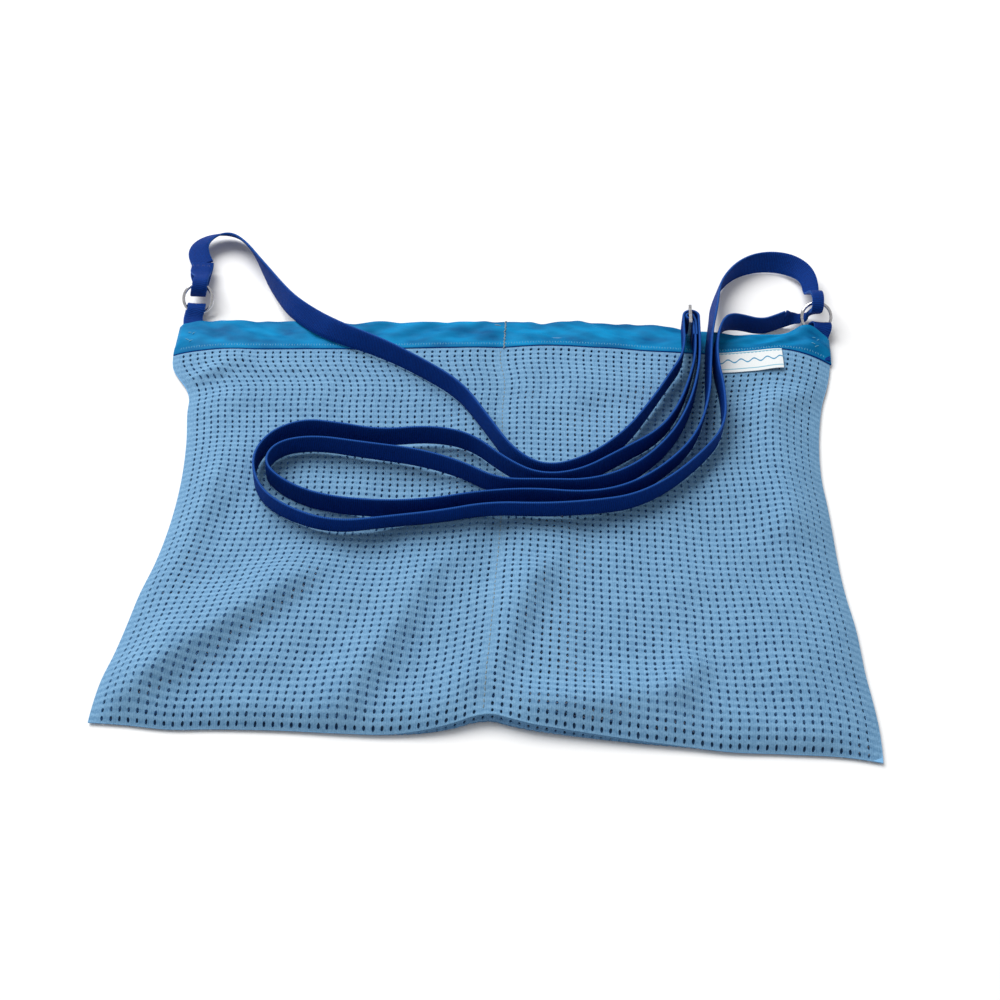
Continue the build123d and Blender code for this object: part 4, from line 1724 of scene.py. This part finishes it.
RIGHT_RUN = Run(
    "strap_right_webbing",
    "strap_right_run",
    (
        (101.45, 102.5, 17.2), (101.45, 90, 17.2), (97.5, 72, 16.0), (91.5, 53, 15.5), (81, 35, 15.5),
        (62, 21, 15.5), (42, 6, 15.5), (22, 2.5, 15.5), (5, 12, 15.5), (-13, 28.5, 15.5), (-34, 32.5, 15.5),
        (-58, 28.5, 15.5), (-80, 32.5, 15.5), (-98, 34.5, 15.5), (-114, 25.5, 15.5), (-121, 8.5, 15.5),
        (-115, -10.5, 15.5), (-100, -22.5, 15.5), (-76, -30.5, 15.5), (-50, -25.5, 15.5), (-26, -21.5, 15.5),
        (-2, -15, 15.5), (26, -15, 15.5), (50, -12, 15.5), (68, -8, 15.5), (85, 3, 15.5), (102, 21, 15.5),
        (114.5, 40, 15.5), (115.2, 65, 15.5), (111.8, 88, 15.5), (113.2, 108, 15.8), (118, 121, 14.8),
        (127, 127, 9.4), (139, 127, 6.2), (147, 130.5, 6.3), (152, 133.5, 6.3),
    ),
    (
        (0, 0), (0.1, -3), (0.2, 3), (0.35, 3), (0.45, -3), (0.55, 14), (0.65, 8), (0.75, 3), (0.85, 3),
        (0.93, 8), (1, 0),
    ),
    0.11,
    True,
    (0.078, 0.030, 0.0172),
    (0.1015, 0.095, 0.0172),
)


# ---------------------------------------------------------------- studio


@dataclass
class Studio:
    """Floor, camera and soft light."""

    camera_place: Point = (0.0251, -0.5105, 0.6128)
    camera_turn: tuple[float, float, float] = (40.0, 0.0, 2.5)
    lens: float = 57.64
    key_place: Point = (-1.25, 1.45, 2.4)
    key_size: float = 2.8
    key_power: float = 112.0
    sky: float = 0.44

    def build(self) -> None:
        """Builds the studio round the bag."""
        self.build_floor()
        self.build_camera()
        self.build_lights()
        bpy.context.scene.view_settings.view_transform = "Standard"

    def build_floor(self) -> None:
        """Plain pale floor under the bag."""
        mesh = bpy.data.meshes.new("floor")
        half = 12.0
        corners = [(-half, -half, 0), (half, -half, 0), (half, half, 0), (-half, half, 0)]
        mesh.from_pydata(corners, [], [(0, 1, 2, 3)])
        mesh.materials.append(Paper().material())
        floor = bpy.data.objects.new("floor", mesh)
        bpy.context.scene.collection.objects.link(floor)

    def build_camera(self) -> None:
        """Camera that looks down at the bag from its bottom edge."""
        scene = bpy.context.scene
        data = bpy.data.cameras.new("camera")
        data.lens = self.lens
        data.sensor_width = 36.0
        data.dof.use_dof = False
        camera = bpy.data.objects.new("camera", data)
        camera.location = self.camera_place
        camera.rotation_euler = Euler(tuple(math.radians(turn) for turn in self.camera_turn))
        scene.collection.objects.link(camera)
        scene.camera = camera

    def build_lights(self) -> None:
        """Large key light behind and to the left, and an even pale sky."""
        data = bpy.data.lights.new("key", "AREA")
        data.shape = "DISK"
        data.size = self.key_size
        data.energy = self.key_power
        key = bpy.data.objects.new("key", data)
        key.location = self.key_place
        key.rotation_euler = (-Vector(self.key_place)).to_track_quat("-Z", "Y").to_euler()
        bpy.context.scene.collection.objects.link(key)
        world = bpy.data.worlds.new("sky")
        world.use_nodes = True
        ground = world.node_tree.nodes["Background"]
        ground.inputs["Color"].default_value = (1.0, 1.0, 1.0, 1.0)
        ground.inputs["Strength"].default_value = self.sky
        bpy.context.scene.world = world


def main() -> None:
    """Builds the bag, the strap and the studio in order."""
    logging.basicConfig(level=logging.INFO, format="%(message)s")
    wardrobe = Wardrobe()
    shape = BagShape()
    Studio().build()
    Pouch(shape, wardrobe).build()
    Mouth(shape, wardrobe).build()
    Label(shape, wardrobe).build()
    Fittings(wardrobe, frame["nodes"]).build()
    Strap(wardrobe, (LEFT_RUN, MIDDLE_RUN, RIGHT_RUN)).build()


if __name__ == "__main__":
    main()
